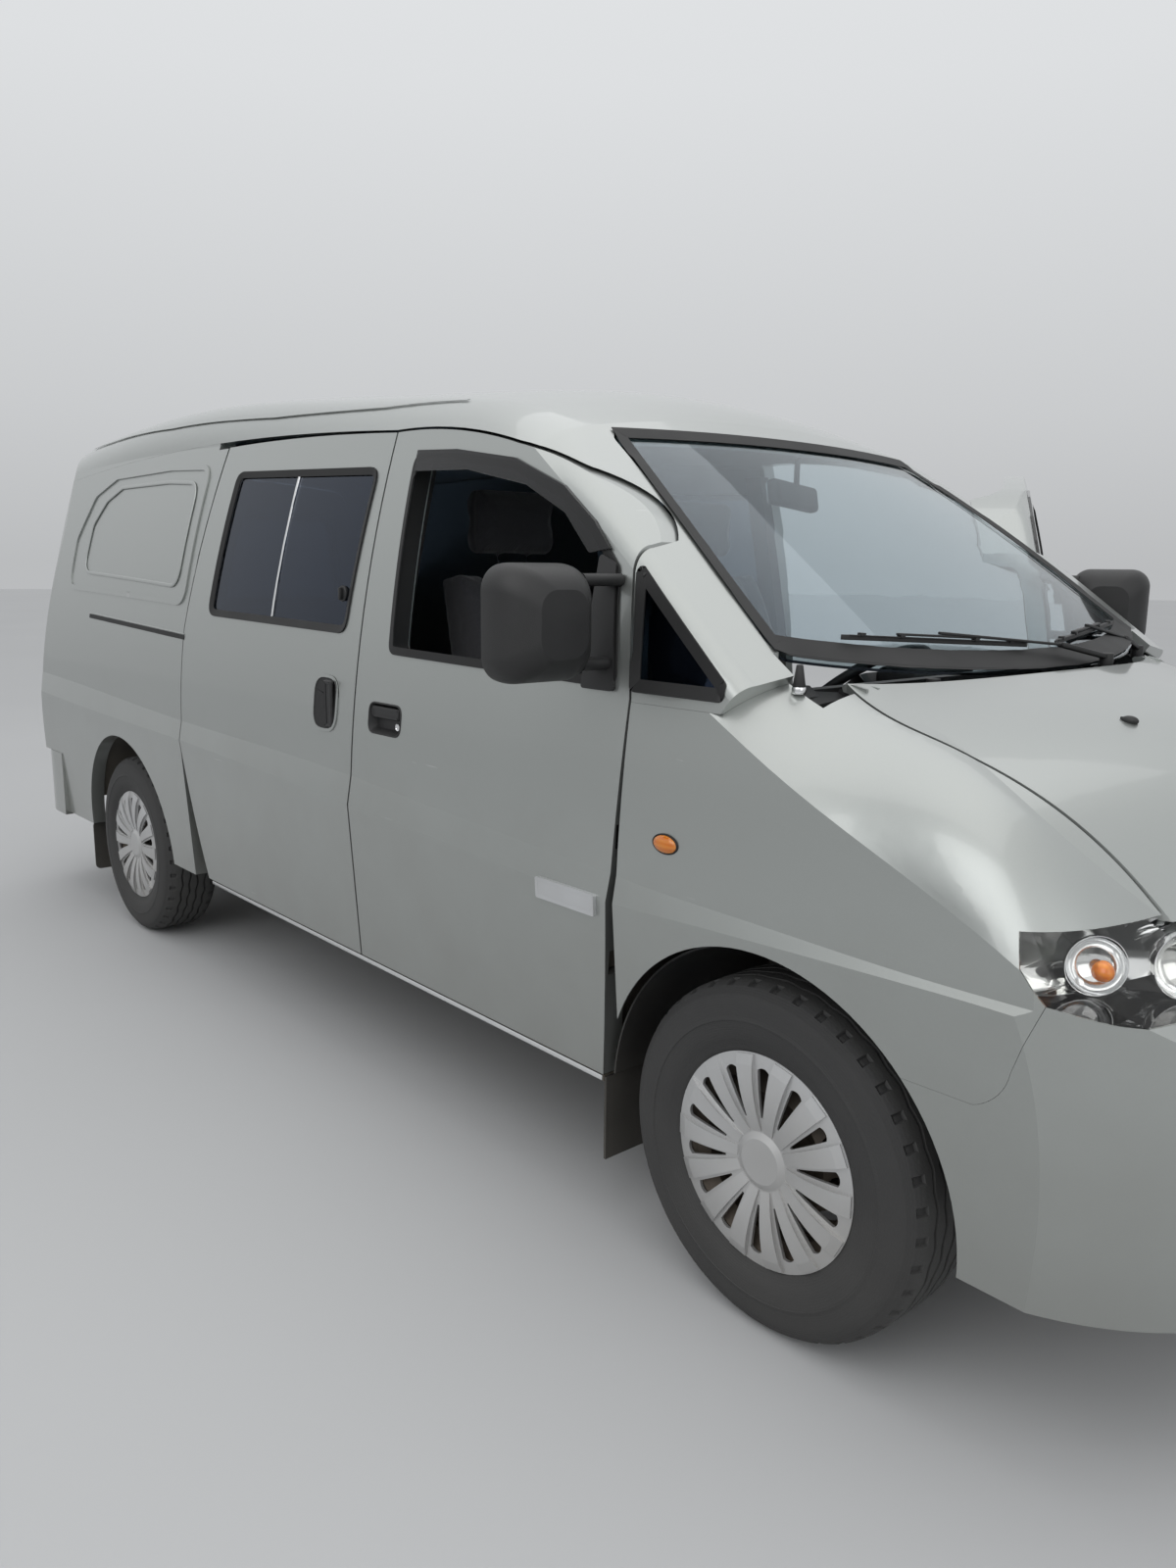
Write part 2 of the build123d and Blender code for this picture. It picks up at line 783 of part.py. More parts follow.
with BuildPart() as mirror:
    for x, middle, width, height, corner in mirror_rows:
        with BuildSketch(Plane.YZ.offset(x)):
            with Locations((-middle, mirror_z)):
                RectangleRounded(width, height, corner)
    loft()
    with BuildSketch(Plane.YZ.offset(mirror_rows[0][0])):
        with Locations((-mirror_rows[0][1], mirror_z)):
            RectangleRounded(mirror_rows[0][2] - 16, mirror_rows[0][3] - 16, mirror_rows[0][4] - 8)
    extrude(amount=9, mode=Mode.SUBTRACT)
    for z in mirror_arm_heights:
        with BuildSketch(Plane.XZ.offset(side_y(z) + 3.2)):
            with Locations((1088, z)):
                SlotOverall(52, 24)
        extrude(amount=928 - side_y(z))
    with BuildPart(mode=Mode.PRIVATE) as sail:
        add(trim_layer.part)
        with BuildSketch(right_side):
            add(face((1034, 1140), (1034, 1404), (1086, 1384), (1130, 1140), corner=8))
        extrude(amount=side_reach, mode=Mode.INTERSECT)
    add(sail.part)

with BuildPart() as wind_deflector:
    add(trim_layer.part)
    with BuildSketch(right_side):
        add(
            face(
                (286, 1602),
                (516, 1593),
                (750, 1549),
                (902, 1485),
                (1000, 1404),
                (1060, 1412),
                (1000, 1466),
                (880, 1542),
                (690, 1610),
                (456, 1644),
                (284, 1653),
            )
        )
    extrude(amount=side_reach, mode=Mode.INTERSECT)


def on_left_door(piece):
    """The same piece on the left door, which stands open."""
    return piece.mirror(Plane.XZ).rotate(Axis((hinge_x, hinge_y, 0), (0, 0, 1)), -left_door_angle)


# Floor, wheel housings, pillars and bulkhead
with BuildPart() as floor_pan:
    with BuildSketch(Plane.XY.offset(floor_z - floor_thickness)):
        with Locations(((tail_x + 1116) / 2, 0)):
            Rectangle(1116 - tail_x, 1900)
    extrude(amount=floor_thickness)
    for side in (1, -1):
        with BuildSketch(Plane.XZ.offset(-side * 726 - 126)):
            with Locations((rear_axle_x, tyre_radius)):
                Circle(arch_radius + 14)
        extrude(amount=252)
    with BuildSketch(Plane.XY.offset(100)):
        Rectangle(6000, 3000)
    extrude(amount=floor_z - floor_thickness - 100, mode=Mode.SUBTRACT)
    add(floor_form.part, mode=Mode.INTERSECT)
    for side in (1, -1):
        with BuildSketch(Plane.XZ.offset(-side * 728 - 126)):
            with Locations((rear_axle_x, tyre_radius)):
                Circle(arch_radius + 11)
        extrude(amount=252, mode=Mode.SUBTRACT)
    for low, high, side in ((slide_rear_x + 2, door_front_x, -1), (door_rear_x, door_front_x, 1)):
        with BuildSketch(Plane.XY.offset(400)):
            with Locations(((low + high) / 2, side * 880)):
                Rectangle(high - low, 2 * (880 - floor_edge_y))
        extrude(amount=500, mode=Mode.SUBTRACT)
    # Rockers, with the bright sill strip that shows under the doors
    for side in (1, -1):
        with BuildSketch(Plane.YZ.offset(-820)):
            add(
                face(
                    (side * 730, 452),
                    (side * 730, 352),
                    (side * 742, sill_z - 8),
                    (side * 872, sill_z - 8),
                    (side * 872, sill_z + 5),
                    (side * 824, sill_z + 5),
                    (side * 824, 452),
                )
            )
        extrude(amount=820 + 1116)
        if side > 0:
            with BuildSketch(Plane.XY.offset(sill_z - seam)):
                with Locations((-500 + door_rear_x / 2, 860)):
                    Rectangle(1000 + door_rear_x, 2 * (860 - 826))
            extrude(amount=10, mode=Mode.SUBTRACT)
        # Door posts
        for x, width in ((door_rear_x - 32, 64), (1078, 38)):
            top = 1690 if x < 500 else 1106
            with BuildSketch(Plane.YZ.offset(x)):
                if x < 500:
                    add(face((side * 804, 452), (side * 812, 800), (side * 795, 1150), (side * 668, 1668), (side * 628, 1668), (side * 750, 1150), (side * 760, 452)))
                else:
                    add(face((side * 794, 452), (side * 794, 1106), (side * 752, 1106), (side * 752, 452)))
            extrude(amount=width)
        for z in door_hinge_heights:
            with BuildSketch(Plane.XY.offset(z - hinge_height / 2 + 3)):
                with Locations((hinge_x, side * (hinge_y + 786) / 2)):
                    Rectangle(16, hinge_y - 786)
                with Locations((hinge_x, side * hinge_y)):
                    Circle(hinge_pin_radius + 5)
                    Circle(hinge_pin_radius + running_gap, mode=Mode.SUBTRACT)
            extrude(amount=hinge_height - 6)
    # Bulkhead, toe boards and inner wings
    with BuildSketch(Plane.YZ.offset(1290)):
        add(face((-770, 1090), (-770, 756), (-450, 756), (-450, 452), (450, 452), (450, 756), (770, 756), (770, 1090)))
    extrude(amount=4)
    with BuildSketch(Plane.XY.offset(floor_z - floor_thickness)):
        with Locations(((1112 + 1292) / 2, 0)):
            Rectangle(180, 904)
    extrude(amount=floor_thickness)
    for side in (1, -1):
        with BuildSketch(Plane.XY.offset(756)):
            with Locations(((1112 + 2040) / 2, side * 615)):
                Rectangle(2040 - 1112, 330)
        extrude(amount=4)
        with BuildSketch(Plane.YZ.offset(1112)):
            with Locations((side * 625, 605)):
                Rectangle(350, 310)
        extrude(amount=4)
        with BuildSketch(Plane.XZ.offset(-side * 452.4 - 2)):
            add(face((1112, 452), (1112, 758), (2040, 758), (2040, 420), (1900, 420), (1800, 470), (1280, 470)))
        extrude(amount=4)

def bar(start, end, width, height):
    """A straight square-edged bar between two points."""
    path = Vector(*end) - Vector(*start)
    with BuildPart() as piece:
        with BuildSketch(Plane(origin=start, z_dir=path)):
            Rectangle(width, height)
        extrude(amount=path.length)
    return piece.part


# Chassis rails with cross members and spring hangers
with BuildPart() as chassis_frame:
    for side in (1, -1):
        with BuildSketch(Plane.XZ.offset(-side * rail_y - rail_width / 2)):
            add(
                face(
                    (tail_x + 90, 450 - seam),
                    (2060, 450 - seam),
                    (2060, 372),
                    (-1150, 352),
                    (-1330, 398),
                    (-1760, 398),
                    (-1900, 372),
                    (tail_x + 90, 372),
                )
            )
        extrude(amount=rail_width)
        for x in (spring_front_x, spring_rear_x):
            with BuildSketch(Plane.XY.offset(spring_eye_z + seam)):
                with Locations((x, side * (spring_y + rail_y) / 2 + side * 14)):
                    Rectangle(40, spring_y - rail_y + 28)
            extrude(amount=450 - 2 * seam - spring_eye_z)
    for x in (-2500, -1950, -1050, -60, 500, 1240, 2030):
        with BuildSketch(Plane.XY.offset(424)):
            with Locations((x, 0)):
                Rectangle(50, 2 * rail_y)
        extrude(amount=26 - seam)
    for x in (2020, tail_x + 130):
        with BuildSketch(Plane.XZ.offset(rail_y - 8)):
            with Locations((x, (404 + tow_eye_z - tow_eye_radius - tow_eye_wall) / 2)):
                SlotOverall(
                    404 - tow_eye_z + tow_eye_radius + tow_eye_wall, 2 * (tow_eye_radius + tow_eye_wall), rotation=90
                )
            with Locations((x, tow_eye_z)):
                Circle(tow_eye_radius, mode=Mode.SUBTRACT)
        extrude(amount=16)

# Live rear axle on leaf springs
with BuildPart() as rear_axle:
    with BuildSketch(Plane.XZ.offset(-640)):
        with Locations((rear_axle_x, tyre_radius)):
            Circle(38)
    extrude(amount=1280)
    with Locations((rear_axle_x, 0, tyre_radius)):
        Sphere(104)
        for side in (1, -1):
            with Locations((0, side * 645, 0)):
                Cylinder(126, 44, rotation=(90, 0, 0))
            with Locations((0, side * 690, 0)):
                Cylinder(hub_radius, 2 * (rear_wheel_y + hub_face + 12 - 690), rotation=(90, 0, 0))
    for side in (1, -1):
        with BuildSketch(Plane.XZ.offset(-side * spring_y - 28)):
            add(
                face(
                    (spring_front_x, spring_eye_z),
                    ((rear_axle_x, 376), (spring_rear_x, spring_eye_z)),
                    (spring_rear_x, spring_eye_z - 12),
                    ((rear_axle_x, 358), (spring_front_x, spring_eye_z - 12)),
                )
            )
        extrude(amount=56)

# Front cross member, wishbones and knuckles
with BuildPart() as front_suspension:
    with BuildSketch(Plane.XY.offset(232)):
        with Locations((front_axle_x, 0)):
            RectangleRounded(180, 760, 30)
    extrude(amount=70)
    for side in (1, -1):
        for z, inner_y in ((arm_low_z, 340), (arm_high_z, rail_y + rail_width / 2 + seam)):
            with BuildSketch(Plane.XY.offset(z)):
                add(
                    face(
                        (front_axle_x - 110, side * inner_y),
                        (front_axle_x + 110, side * inner_y),
                        (front_axle_x + 22, side * 670),
                        (front_axle_x + 22, side * steering_axis_y),
                        (front_axle_x - 22, side * steering_axis_y),
                        (front_axle_x - 22, side * 670),
                    )
                )
                with Locations((front_axle_x, side * steering_axis_y)):
                    Circle(22)
            extrude(amount=22)
        with BuildSketch(Plane.XY.offset(arm_low_z)):
            with Locations((front_axle_x, side * steering_axis_y)):
                Circle(ball_radius)
        extrude(amount=56)
        with BuildSketch(Plane.XY.offset(arm_high_z - 34)):
            with Locations((front_axle_x, side * steering_axis_y)):
                Circle(ball_radius)
        extrude(amount=56)
        with BuildSketch(Plane.XY.offset(arm_low_z)):
            with Locations((front_axle_x, side * (rail_y - rail_width / 2 - seam - 15))):
                Rectangle(240, 30)
        extrude(amount=arm_high_z - arm_low_z)


def knuckle_body(side):
    """A steering knuckle with its hub, brake disc and caliper."""
    with BuildPart() as knuckle:
        with BuildSketch(Plane.XY.offset(arm_low_z + 26)):
            with Locations((front_axle_x, side * steering_axis_y)):
                Circle(24)
        extrude(amount=arm_high_z - arm_low_z - 30)
        with BuildSketch(Plane.XY.offset(arm_low_z + 24)):
            with Locations((front_axle_x, side * steering_axis_y)):
                Circle(ball_radius + running_gap)
        extrude(amount=34 + running_gap, mode=Mode.SUBTRACT)
        with BuildSketch(Plane.XY.offset(arm_high_z - 34 - running_gap)):
            with Locations((front_axle_x, side * steering_axis_y)):
                Circle(ball_radius + running_gap)
        extrude(amount=40, mode=Mode.SUBTRACT)
        with Locations((front_axle_x, side * 732, tyre_radius)):
            Cylinder(46, 44, rotation=(90, 0, 0))
        with Locations((front_axle_x, side * 744, tyre_radius)):
            Cylinder(128, 20, rotation=(90, 0, 0))
        with Locations((front_axle_x, side * (740 + front_wheel_y + hub_face + 12) / 2, tyre_radius)):
            Cylinder(hub_radius, front_wheel_y + hub_face + 12 - 740, rotation=(90, 0, 0))
        with Locations((front_axle_x - 96, side * 744, tyre_radius + 20)):
            Box(44, 56, 90)
    return knuckle.part


# Wheels: tyre, steel rim and slotted cover, modelled on the left with the outer face towards +Y
def tyre_body():
    """A tyre with a flat tread, round shoulders, bulged walls and shallow grooves."""
    half = tyre_width / 2
    with BuildPart() as tyre:
        with BuildSketch(Plane.YZ):
            add(
                face(
                    (-half + 26, rim_radius + 2),
                    ((-half - 2, 262), (-half + 20, tyre_radius - 10)),
                    ((-half + 32, tyre_radius - 3), (-half + 48, tyre_radius)),
                    (half - 48, tyre_radius),
                    ((half - 32, tyre_radius - 3), (half - 20, tyre_radius - 10)),
                    ((half + 2, 262), (half - 26, rim_radius + 2)),
                    (half - 34, rim_radius + 2),
                    (half - 18, 262),
                    (half - 40, tyre_radius - 20),
                    (-half + 40, tyre_radius - 20),
                    (-half + 18, 262),
                    (-half + 34, rim_radius + 2),
                )
            )
            with Locations(*[(y, tyre_radius) for y in (-36, -12, 12, 36)]):
                Rectangle(8, 12, mode=Mode.SUBTRACT)
        revolve(axis=Axis.Y)
    return tyre.part


def rim_body():
    """A pressed steel rim: barrel with flanges, dished disc, vent holes and hub bore."""
    half = tyre_width / 2 - 26
    with BuildPart() as rim:
        with BuildSketch(Plane.YZ):
            add(
                face(
                    (-half, rim_radius + 1.6),
                    (-half, 176),
                    (-half + 18, 164),
                    (10, 158),
                    (half - 22, 158),
                    (half - 8, 178),
                    (half, 184),
                    (half, rim_radius + 1.6),
                    (half - 6, rim_radius + 1.6),
                    (half - 10, 184),
                    (half - 26, 166),
                    (10, 166),
                    (-half + 20, 172),
                    (-half + 6, 182),
                    (-half + 6, rim_radius + 1.6),
                )
            )
            add(
                face(
                    (hub_face, hub_radius + running_gap),
                    (hub_face, 84),
                    (hub_face + 22, 120),
                    (14, 162),
                    (20, 162),
                    (hub_face + 29, 120),
                    (hub_face + 6, 84),
                    (hub_face + 6, hub_radius + running_gap),
                )
            )
        revolve(axis=Axis.Y)
        with BuildSketch(Plane.XZ.offset(-80)):
            with PolarLocations(138, 12):
                Circle(13)
        extrude(amount=160, mode=Mode.SUBTRACT)
    return rim.part

def cover_body():
    """A plastic wheel cover: fourteen raised paddle spokes, tapered slots and a round centre cap."""
    with BuildPart() as cover:
        with BuildSketch(Plane.YZ):
            add(
                face(
                    (92, 0),
                    (92, 42),
                    (86, 54),
                    (86, 60),
                    ((92, 120), (90, 186)),
                    (88, cover_radius),
                    (85.2, cover_radius),
                    (77, 190.5),
                    (77, 186),
                    (84, 182),
                    ((86, 120), (81, 58)),
                    (81, 52),
                    (88, 38),
                    (88, 0),
                )
            )
        revolve(axis=Axis.Y)
        with BuildSketch(Plane.XZ.offset(-60)):
            with PolarLocations(0, cover_spokes, start_angle=180 / cover_spokes):
                add(face((84, -2), (172, -13), ((178, 0), (172, 13)), (84, 2)))
        extrude(amount=-60, mode=Mode.SUBTRACT)
        with BuildPart(mode=Mode.PRIVATE) as spokes:
            with BuildSketch(Plane.XZ.offset(-60)):
                with PolarLocations(0, cover_spokes):
                    add(face((56, -10), (cover_radius - 3, -20), (cover_radius - 3, 20), (56, 10)))
            extrude(amount=-60)
            with BuildSketch(Plane.YZ):
                add(
                    face(
                        (87, 56),
                        ((100, 125), (98, 180)),
                        (91.5, cover_radius - 1),
                        (86.4, cover_radius - 1),
                        (88, 184),
                        ((89, 120), (84, 56)),
                    )
                )
            revolve(axis=Axis.Y, mode=Mode.INTERSECT)
        add(spokes.part)
    return cover.part


# Columns: name, axle x, wheel y, side
corners = [
    ("front_right", front_axle_x, front_wheel_y, -1),
    ("front_left", front_axle_x, front_wheel_y, 1),
    ("rear_right", rear_axle_x, rear_wheel_y, -1),
    ("rear_left", rear_axle_x, rear_wheel_y, 1),
]

# Under the floor and under the bonnet
with BuildPart() as engine_block:
    with BuildSketch(Plane.XY.offset(330)):
        with Locations((1660, 0)):
            RectangleRounded(600, 400, 40)
    extrude(amount=60)
    with BuildSketch(Plane.XY.offset(390)):
        with Locations((1660, 0)):
            RectangleRounded(640, 480, 40)
    extrude(amount=430)
    with BuildSketch(Plane.XY.offset(820)):
        with Locations((1640, 0)):
            RectangleRounded(540, 260, 40)
    extrude(amount=150)
    with BuildSketch(Plane.YZ.offset(760)):
        with Locations((0, 340)):
            Circle(80)
    extrude(amount=640)
    for side in (1, -1):
        with BuildSketch(Plane.XY.offset(382)):
            with Locations((1760, side * 310)):
                Rectangle(70, 2 * (rail_y - rail_width / 2 - seam - 310))
        extrude(amount=50)
    with BuildSketch(Plane.YZ.offset(760)):
        with Locations((0, 340)):
            Circle(prop_radius)
    extrude(amount=-(760 - rear_axle_x - 104 - 20))

with BuildPart() as fuel_tank:
    with BuildSketch(Plane.XY.offset(214)):
        with Locations((-60, 232)):
            RectangleRounded(760, 250, 50)
    extrude(amount=180)
    fillet(edges().group_by(Axis.Z)[0], 22)
    for x in (-330, 210):
        with BuildSketch(Plane.XY.offset(388)):
            with Locations((x, 232)):
                Rectangle(40, 2 * (rail_y - rail_width / 2 - seam - 232))
        extrude(amount=450 - seam - 388)

with BuildPart() as exhaust:
    with BuildSketch(Plane.YZ.offset(-2560)):
        with Locations((-exhaust_y, exhaust_z)):
            Circle(20)
            Circle(17, mode=Mode.SUBTRACT)
    extrude(amount=2560 + 1180)
    with BuildSketch(Plane.YZ.offset(180)):
        with Locations((-exhaust_y + 70, exhaust_z - 46)):
            SlotOverall(200, 130)
    extrude(amount=560)
    for x in (-2400, -700, 460, 1130):
        with BuildSketch(Plane.XY.offset(exhaust_z + 18)):
            with Locations((x, -exhaust_y)):
                Rectangle(24, 16)
        extrude(amount=450 - seam - exhaust_z - 18)

with BuildPart() as spare_wheel:
    with BuildSketch(Plane.XZ):
        add(
            face(
                (rim_radius, 232),
                ((262, 222), (tyre_radius - 20, 240)),
                ((tyre_radius - 6, 262), (tyre_radius - 6, 325)),
                ((tyre_radius - 6, 388), (tyre_radius - 20, 412)),
                ((262, 424), (rim_radius, 418)),
                (rim_radius - 14, 408),
                (rim_radius - 24, 300),
                (60, 330),
                (0, 330),
                (0, 316),
                (60, 316),
                (rim_radius - 24, 286),
                (rim_radius - 10, 240),
            )
        )
    revolve(axis=Axis.Z)
spare = Pos(spare_x, 0, -12) * spare_wheel.part
with BuildPart() as spare_wheel:
    add(spare)
    with BuildSketch(Plane.XY.offset(310)):
        with Locations((spare_x, 0)):
            Circle(14)
    extrude(amount=450 - seam - 310)

with BuildPart() as arch_liners:
    for side in (1, -1):
        with BuildSketch(Plane.XZ.offset(-side * 663 - 208)):
            with Locations((front_axle_x, tyre_radius)):
                Circle(front_arch_radius - 3)
                Circle(front_arch_radius - 7, mode=Mode.SUBTRACT)
            with Locations((front_axle_x, tyre_radius - 500)):
                Rectangle(2000, 1060, mode=Mode.SUBTRACT)
        extrude(amount=416)

with BuildPart() as mudflaps:
    for side in (1, -1):
        with BuildSketch(Plane.YZ.offset(1116 + seam)):
            with Locations((side * 795, 250)):
                Rectangle(150, 184)
            with Locations((side * 775, 380)):
                Rectangle(88, 120)
        extrude(amount=6)
        with BuildSketch(Plane.YZ.offset(-1996)):
            with Locations((side * 795, 240)):
                RectangleRounded(150, 199, 20)
        extrude(amount=6)

with BuildPart() as wipers:
    for x, y, blade_low, blade_high in wiper_rows:
        head = (x, y, wiper_pivot_z + 12)
        middle = tuple((low + high) / 2 for low, high in zip(blade_low, blade_high))
        with BuildSketch(Plane.XY.offset(wiper_pivot_z + 0.3)):
            with Locations((x, y)):
                Circle(13)
        extrude(amount=18)
        add(bar(head, middle, 14, 8))
        add(bar(blade_low, blade_high, 10, 12))

# Tailgate, its glass, lamps and rear bumper
with BuildPart() as tailgate:
    add(main_wall.part)
    with BuildSketch(Plane.YZ.offset(tail_x - 105)):
        add(tailgate_shape())
    extrude(amount=tailgate_depth, mode=Mode.INTERSECT)
    with BuildSketch(Plane.YZ.offset(tail_x - 105)):
        add(face(*tailgate_window, corner=50))
    extrude(amount=tailgate_depth, mode=Mode.SUBTRACT)
    for side in (1, -1):
        with BuildSketch(Plane.XZ.offset(-side * tailgate_hinge_y - 18)):
            with Locations((tailgate_hinge_x, tailgate_hinge_z)):
                Circle(tailgate_pin_radius)
        extrude(amount=36)
        for end in (-22, 14):
            with BuildSketch(Plane.XZ.offset(-side * tailgate_hinge_y + end)):
                add(
                    face(
                        (tailgate_hinge_x - 8, tailgate_hinge_z),
                        ((tailgate_hinge_x, tailgate_hinge_z + 8), (tailgate_hinge_x + 8, tailgate_hinge_z)),
                        (tailgate_hinge_x + 22, tailgate_hinge_z - 34),
                        (tailgate_hinge_x - 8, tailgate_hinge_z - 34),
                    )
                )
            extrude(amount=8)

with BuildPart() as tailgate_glass:
    add(rounded_skin(roof_rows, glass_sink, glass_sink, sill_z))
    add(rounded_skin(roof_rows, glass_sink + glass_thickness, glass_sink + 5, sill_z - 5), mode=Mode.SUBTRACT)
    with BuildSketch(Plane.YZ.offset(tail_x - 105)):
        add(face(*tailgate_window, corner=50, grow=-seam))
    extrude(amount=tailgate_depth, mode=Mode.INTERSECT)

with BuildPart() as tail_lamps:
    add(main_wall.part)
    with BuildSketch(Plane.YZ.offset(tail_x - 105)):
        add(tail_lamp_shape())
        offset(amount=-seam)
    extrude(amount=tail_lamp_depth - seam, mode=Mode.INTERSECT)

with BuildPart() as rear_bumper:
    with BuildSketch(Plane.XY.offset(330)):
        with BuildLine():
            plan_outline(899, nose_x, tail_x - 14, 0)
        make_face()
    extrude(amount=tail_panel_z - seam - 330)
    with BuildSketch(Plane.XY.offset(330)):
        with BuildLine():
            plan_outline(899, nose_x, tail_x - 14, 30)
        make_face()
    extrude(amount=400, mode=Mode.SUBTRACT)
    with BuildSketch(Plane.XY.offset(300)):
        with Locations((bumper_front_x - seam + 4000, 0)):
            Rectangle(8000, 4000)
    extrude(amount=500, mode=Mode.SUBTRACT)
    with BuildSketch(Plane.XY.offset(360)):
        with Locations((tail_x + 54.8, 430), (tail_x + 54.8, -430)):
            Rectangle(69.6, 60)
    extrude(amount=80)

# Cab: dashboard, steering wheel and seats
hub_plane = Plane(origin=steering_hub, x_dir=(0, 1, 0), z_dir=steering_direction)

with BuildPart() as dashboard:
    with BuildSketch(Plane.XZ.offset(-735)):
        add(
            face(
                (1290 - seam, 800),
                (1290 - seam, 1072),
                ((1180, 1096), (1040, 1074)),
                ((1010, 1055), (1002, 1020)),
                (1030, 900),
                (1072, 740),
                (1100, 766),
            )
        )
    extrude(amount=1470)
    with BuildSketch(hub_plane.offset(-340)):
        Circle(34)
    extrude(amount=286)
    with BuildSketch(hub_plane.offset(-108)):
        Circle(12 + running_gap)
    extrude(amount=60, mode=Mode.SUBTRACT)


with BuildPart() as steering_wheel:
    with BuildSketch(hub_plane):
        RectangleRounded(150, 110, 40)
    extrude(amount=30)
    with BuildSketch(hub_plane.offset(-46)):
        Circle(24)
    extrude(amount=50)
    with BuildSketch(hub_plane.offset(-104)):
        Circle(12)
    extrude(amount=60)
    with BuildSketch(hub_plane.offset(4)):
        with PolarLocations(steering_radius / 2, 4, start_angle=30):
            Rectangle(steering_radius, 26)
    extrude(amount=14)
    with BuildSketch(Plane(origin=steering_hub, x_dir=hub_plane.y_dir, z_dir=(0, 1, 0))):
        with Locations((steering_radius, 9)):
            Circle(14)
    revolve(axis=Axis(steering_hub, steering_direction))

with BuildPart() as seat_bases:
    for side in (1, -1):
        with BuildSketch(Plane.XY.offset(floor_z + seam)):
            with Locations((seat_x, side * steering_y)):
                Rectangle(430, 400)
        extrude(amount=seat_base_height - seam)
        with BuildSketch(Plane.XY.offset(floor_z + seat_base_height)):
            with Locations((seat_x, side * steering_y)):
                Rectangle(490, 450)
        extrude(amount=16)

with BuildPart() as seat_cushions:
    for side in (1, -1):
        with BuildSketch(Plane.XY.offset(cushion_z)):
            with Locations((seat_x, side * steering_y)):
                RectangleRounded(510, 480, 60)
        extrude(amount=cushion_thickness)
    fillet(edges().group_by(Axis.Z)[-1], 34)

with BuildPart() as seat_backs:
    for side in (1, -1):
        with BuildSketch(Plane.XZ.offset(-side * steering_y - 235)):
            add(
                face(
                    (seat_x - 262, cushion_z + 4),
                    (seat_x - 390, cushion_z + 620),
                    (seat_x - 300, cushion_z + 640),
                    ((seat_x - 168, cushion_z + 380), (seat_x - 150, cushion_z + cushion_thickness + 4)),
                    (seat_x - 150, cushion_z + cushion_thickness + 0.3),
                    (seat_x - 255.6, cushion_z + cushion_thickness + 0.3),
                    (seat_x - 255.6, cushion_z + 4),
                )
            )
        extrude(amount=470)

with BuildPart() as headrests:
    for side in (1, -1):
        with BuildSketch(Plane.XZ.offset(-side * steering_y - 125)):
            with Locations((seat_x - 352, cushion_z + 770)):
                RectangleRounded(96, 180, 40)
        extrude(amount=250)
        for post in (-55, 55):
            with BuildSketch(Plane.XY.offset(cushion_z + 631.8)):
                with Locations((seat_x - 345, side * steering_y + post)):
                    Circle(6)
            extrude(amount=60)

# Load space: bed on a frame over the wheel housings, and a side cabinet
with BuildPart() as bed_frame:
    with BuildSketch(Plane.XY.offset(bed_z)):
        with Locations(((bed_rear_x + bed_front_x) / 2, 0)):
            Rectangle(bed_front_x - bed_rear_x, 2 * bed_y)
    extrude(amount=18)
    for x in (bed_rear_x + 20, bed_front_x - 20):
        with BuildSketch(Plane.XY.offset(floor_z + seam)):
            with Locations((x, 0)):
                Rectangle(36, 1100)
        extrude(amount=bed_z - floor_z - seam)
    for x in (bed_rear_x + 20, bed_front_x - 20):
        with BuildSketch(Plane.YZ.offset(x - 18)):
            with Locations((-265, (bed_z + floor_z) / 2), (265, (bed_z + floor_z) / 2)):
                RectangleRounded(440, bed_z - floor_z - 90, 30)
        extrude(amount=36, mode=Mode.SUBTRACT)

with BuildPart() as mattress:
    with BuildSketch(Plane.XY.offset(bed_z + 18.3)):
        with Locations(((bed_rear_x + bed_front_x) / 2, 0)):
            RectangleRounded(bed_front_x - bed_rear_x - 20, 2 * bed_y - 20, 60)
    extrude(amount=mattress_thickness)
    fillet(edges().group_by(Axis.Z)[-1], 25)

with BuildPart() as side_cabinet:
    with BuildSketch(Plane.XY.offset(floor_z + seam)):
        with Locations((cabinet_x, 575)):
            Rectangle(cabinet_length, 420)
    extrude(amount=cabinet_height)
    with BuildSketch(Plane.XY.offset(floor_z + seam + 15)):
        with Locations((cabinet_x, 575)):
            Rectangle(cabinet_length - 30, 390)
    extrude(amount=cabinet_height - 15, mode=Mode.SUBTRACT)
    with BuildSketch(Plane.XY.offset(floor_z + seam + cabinet_height)):
        with Locations((cabinet_x, 572)):
            Rectangle(cabinet_length + 20, 436)
    extrude(amount=24)
    with BuildSketch(Plane.XZ.offset(-365)):
        for column in (-1, 1):
            with Locations((cabinet_x + column * cabinet_length / 4, floor_z + 310)):
                Rectangle(cabinet_length / 2 - 30, 540)
                Rectangle(cabinet_length / 2 - 36, 534, mode=Mode.SUBTRACT)
    extrude(amount=-4, mode=Mode.SUBTRACT)


front_door_right = front_door_body()

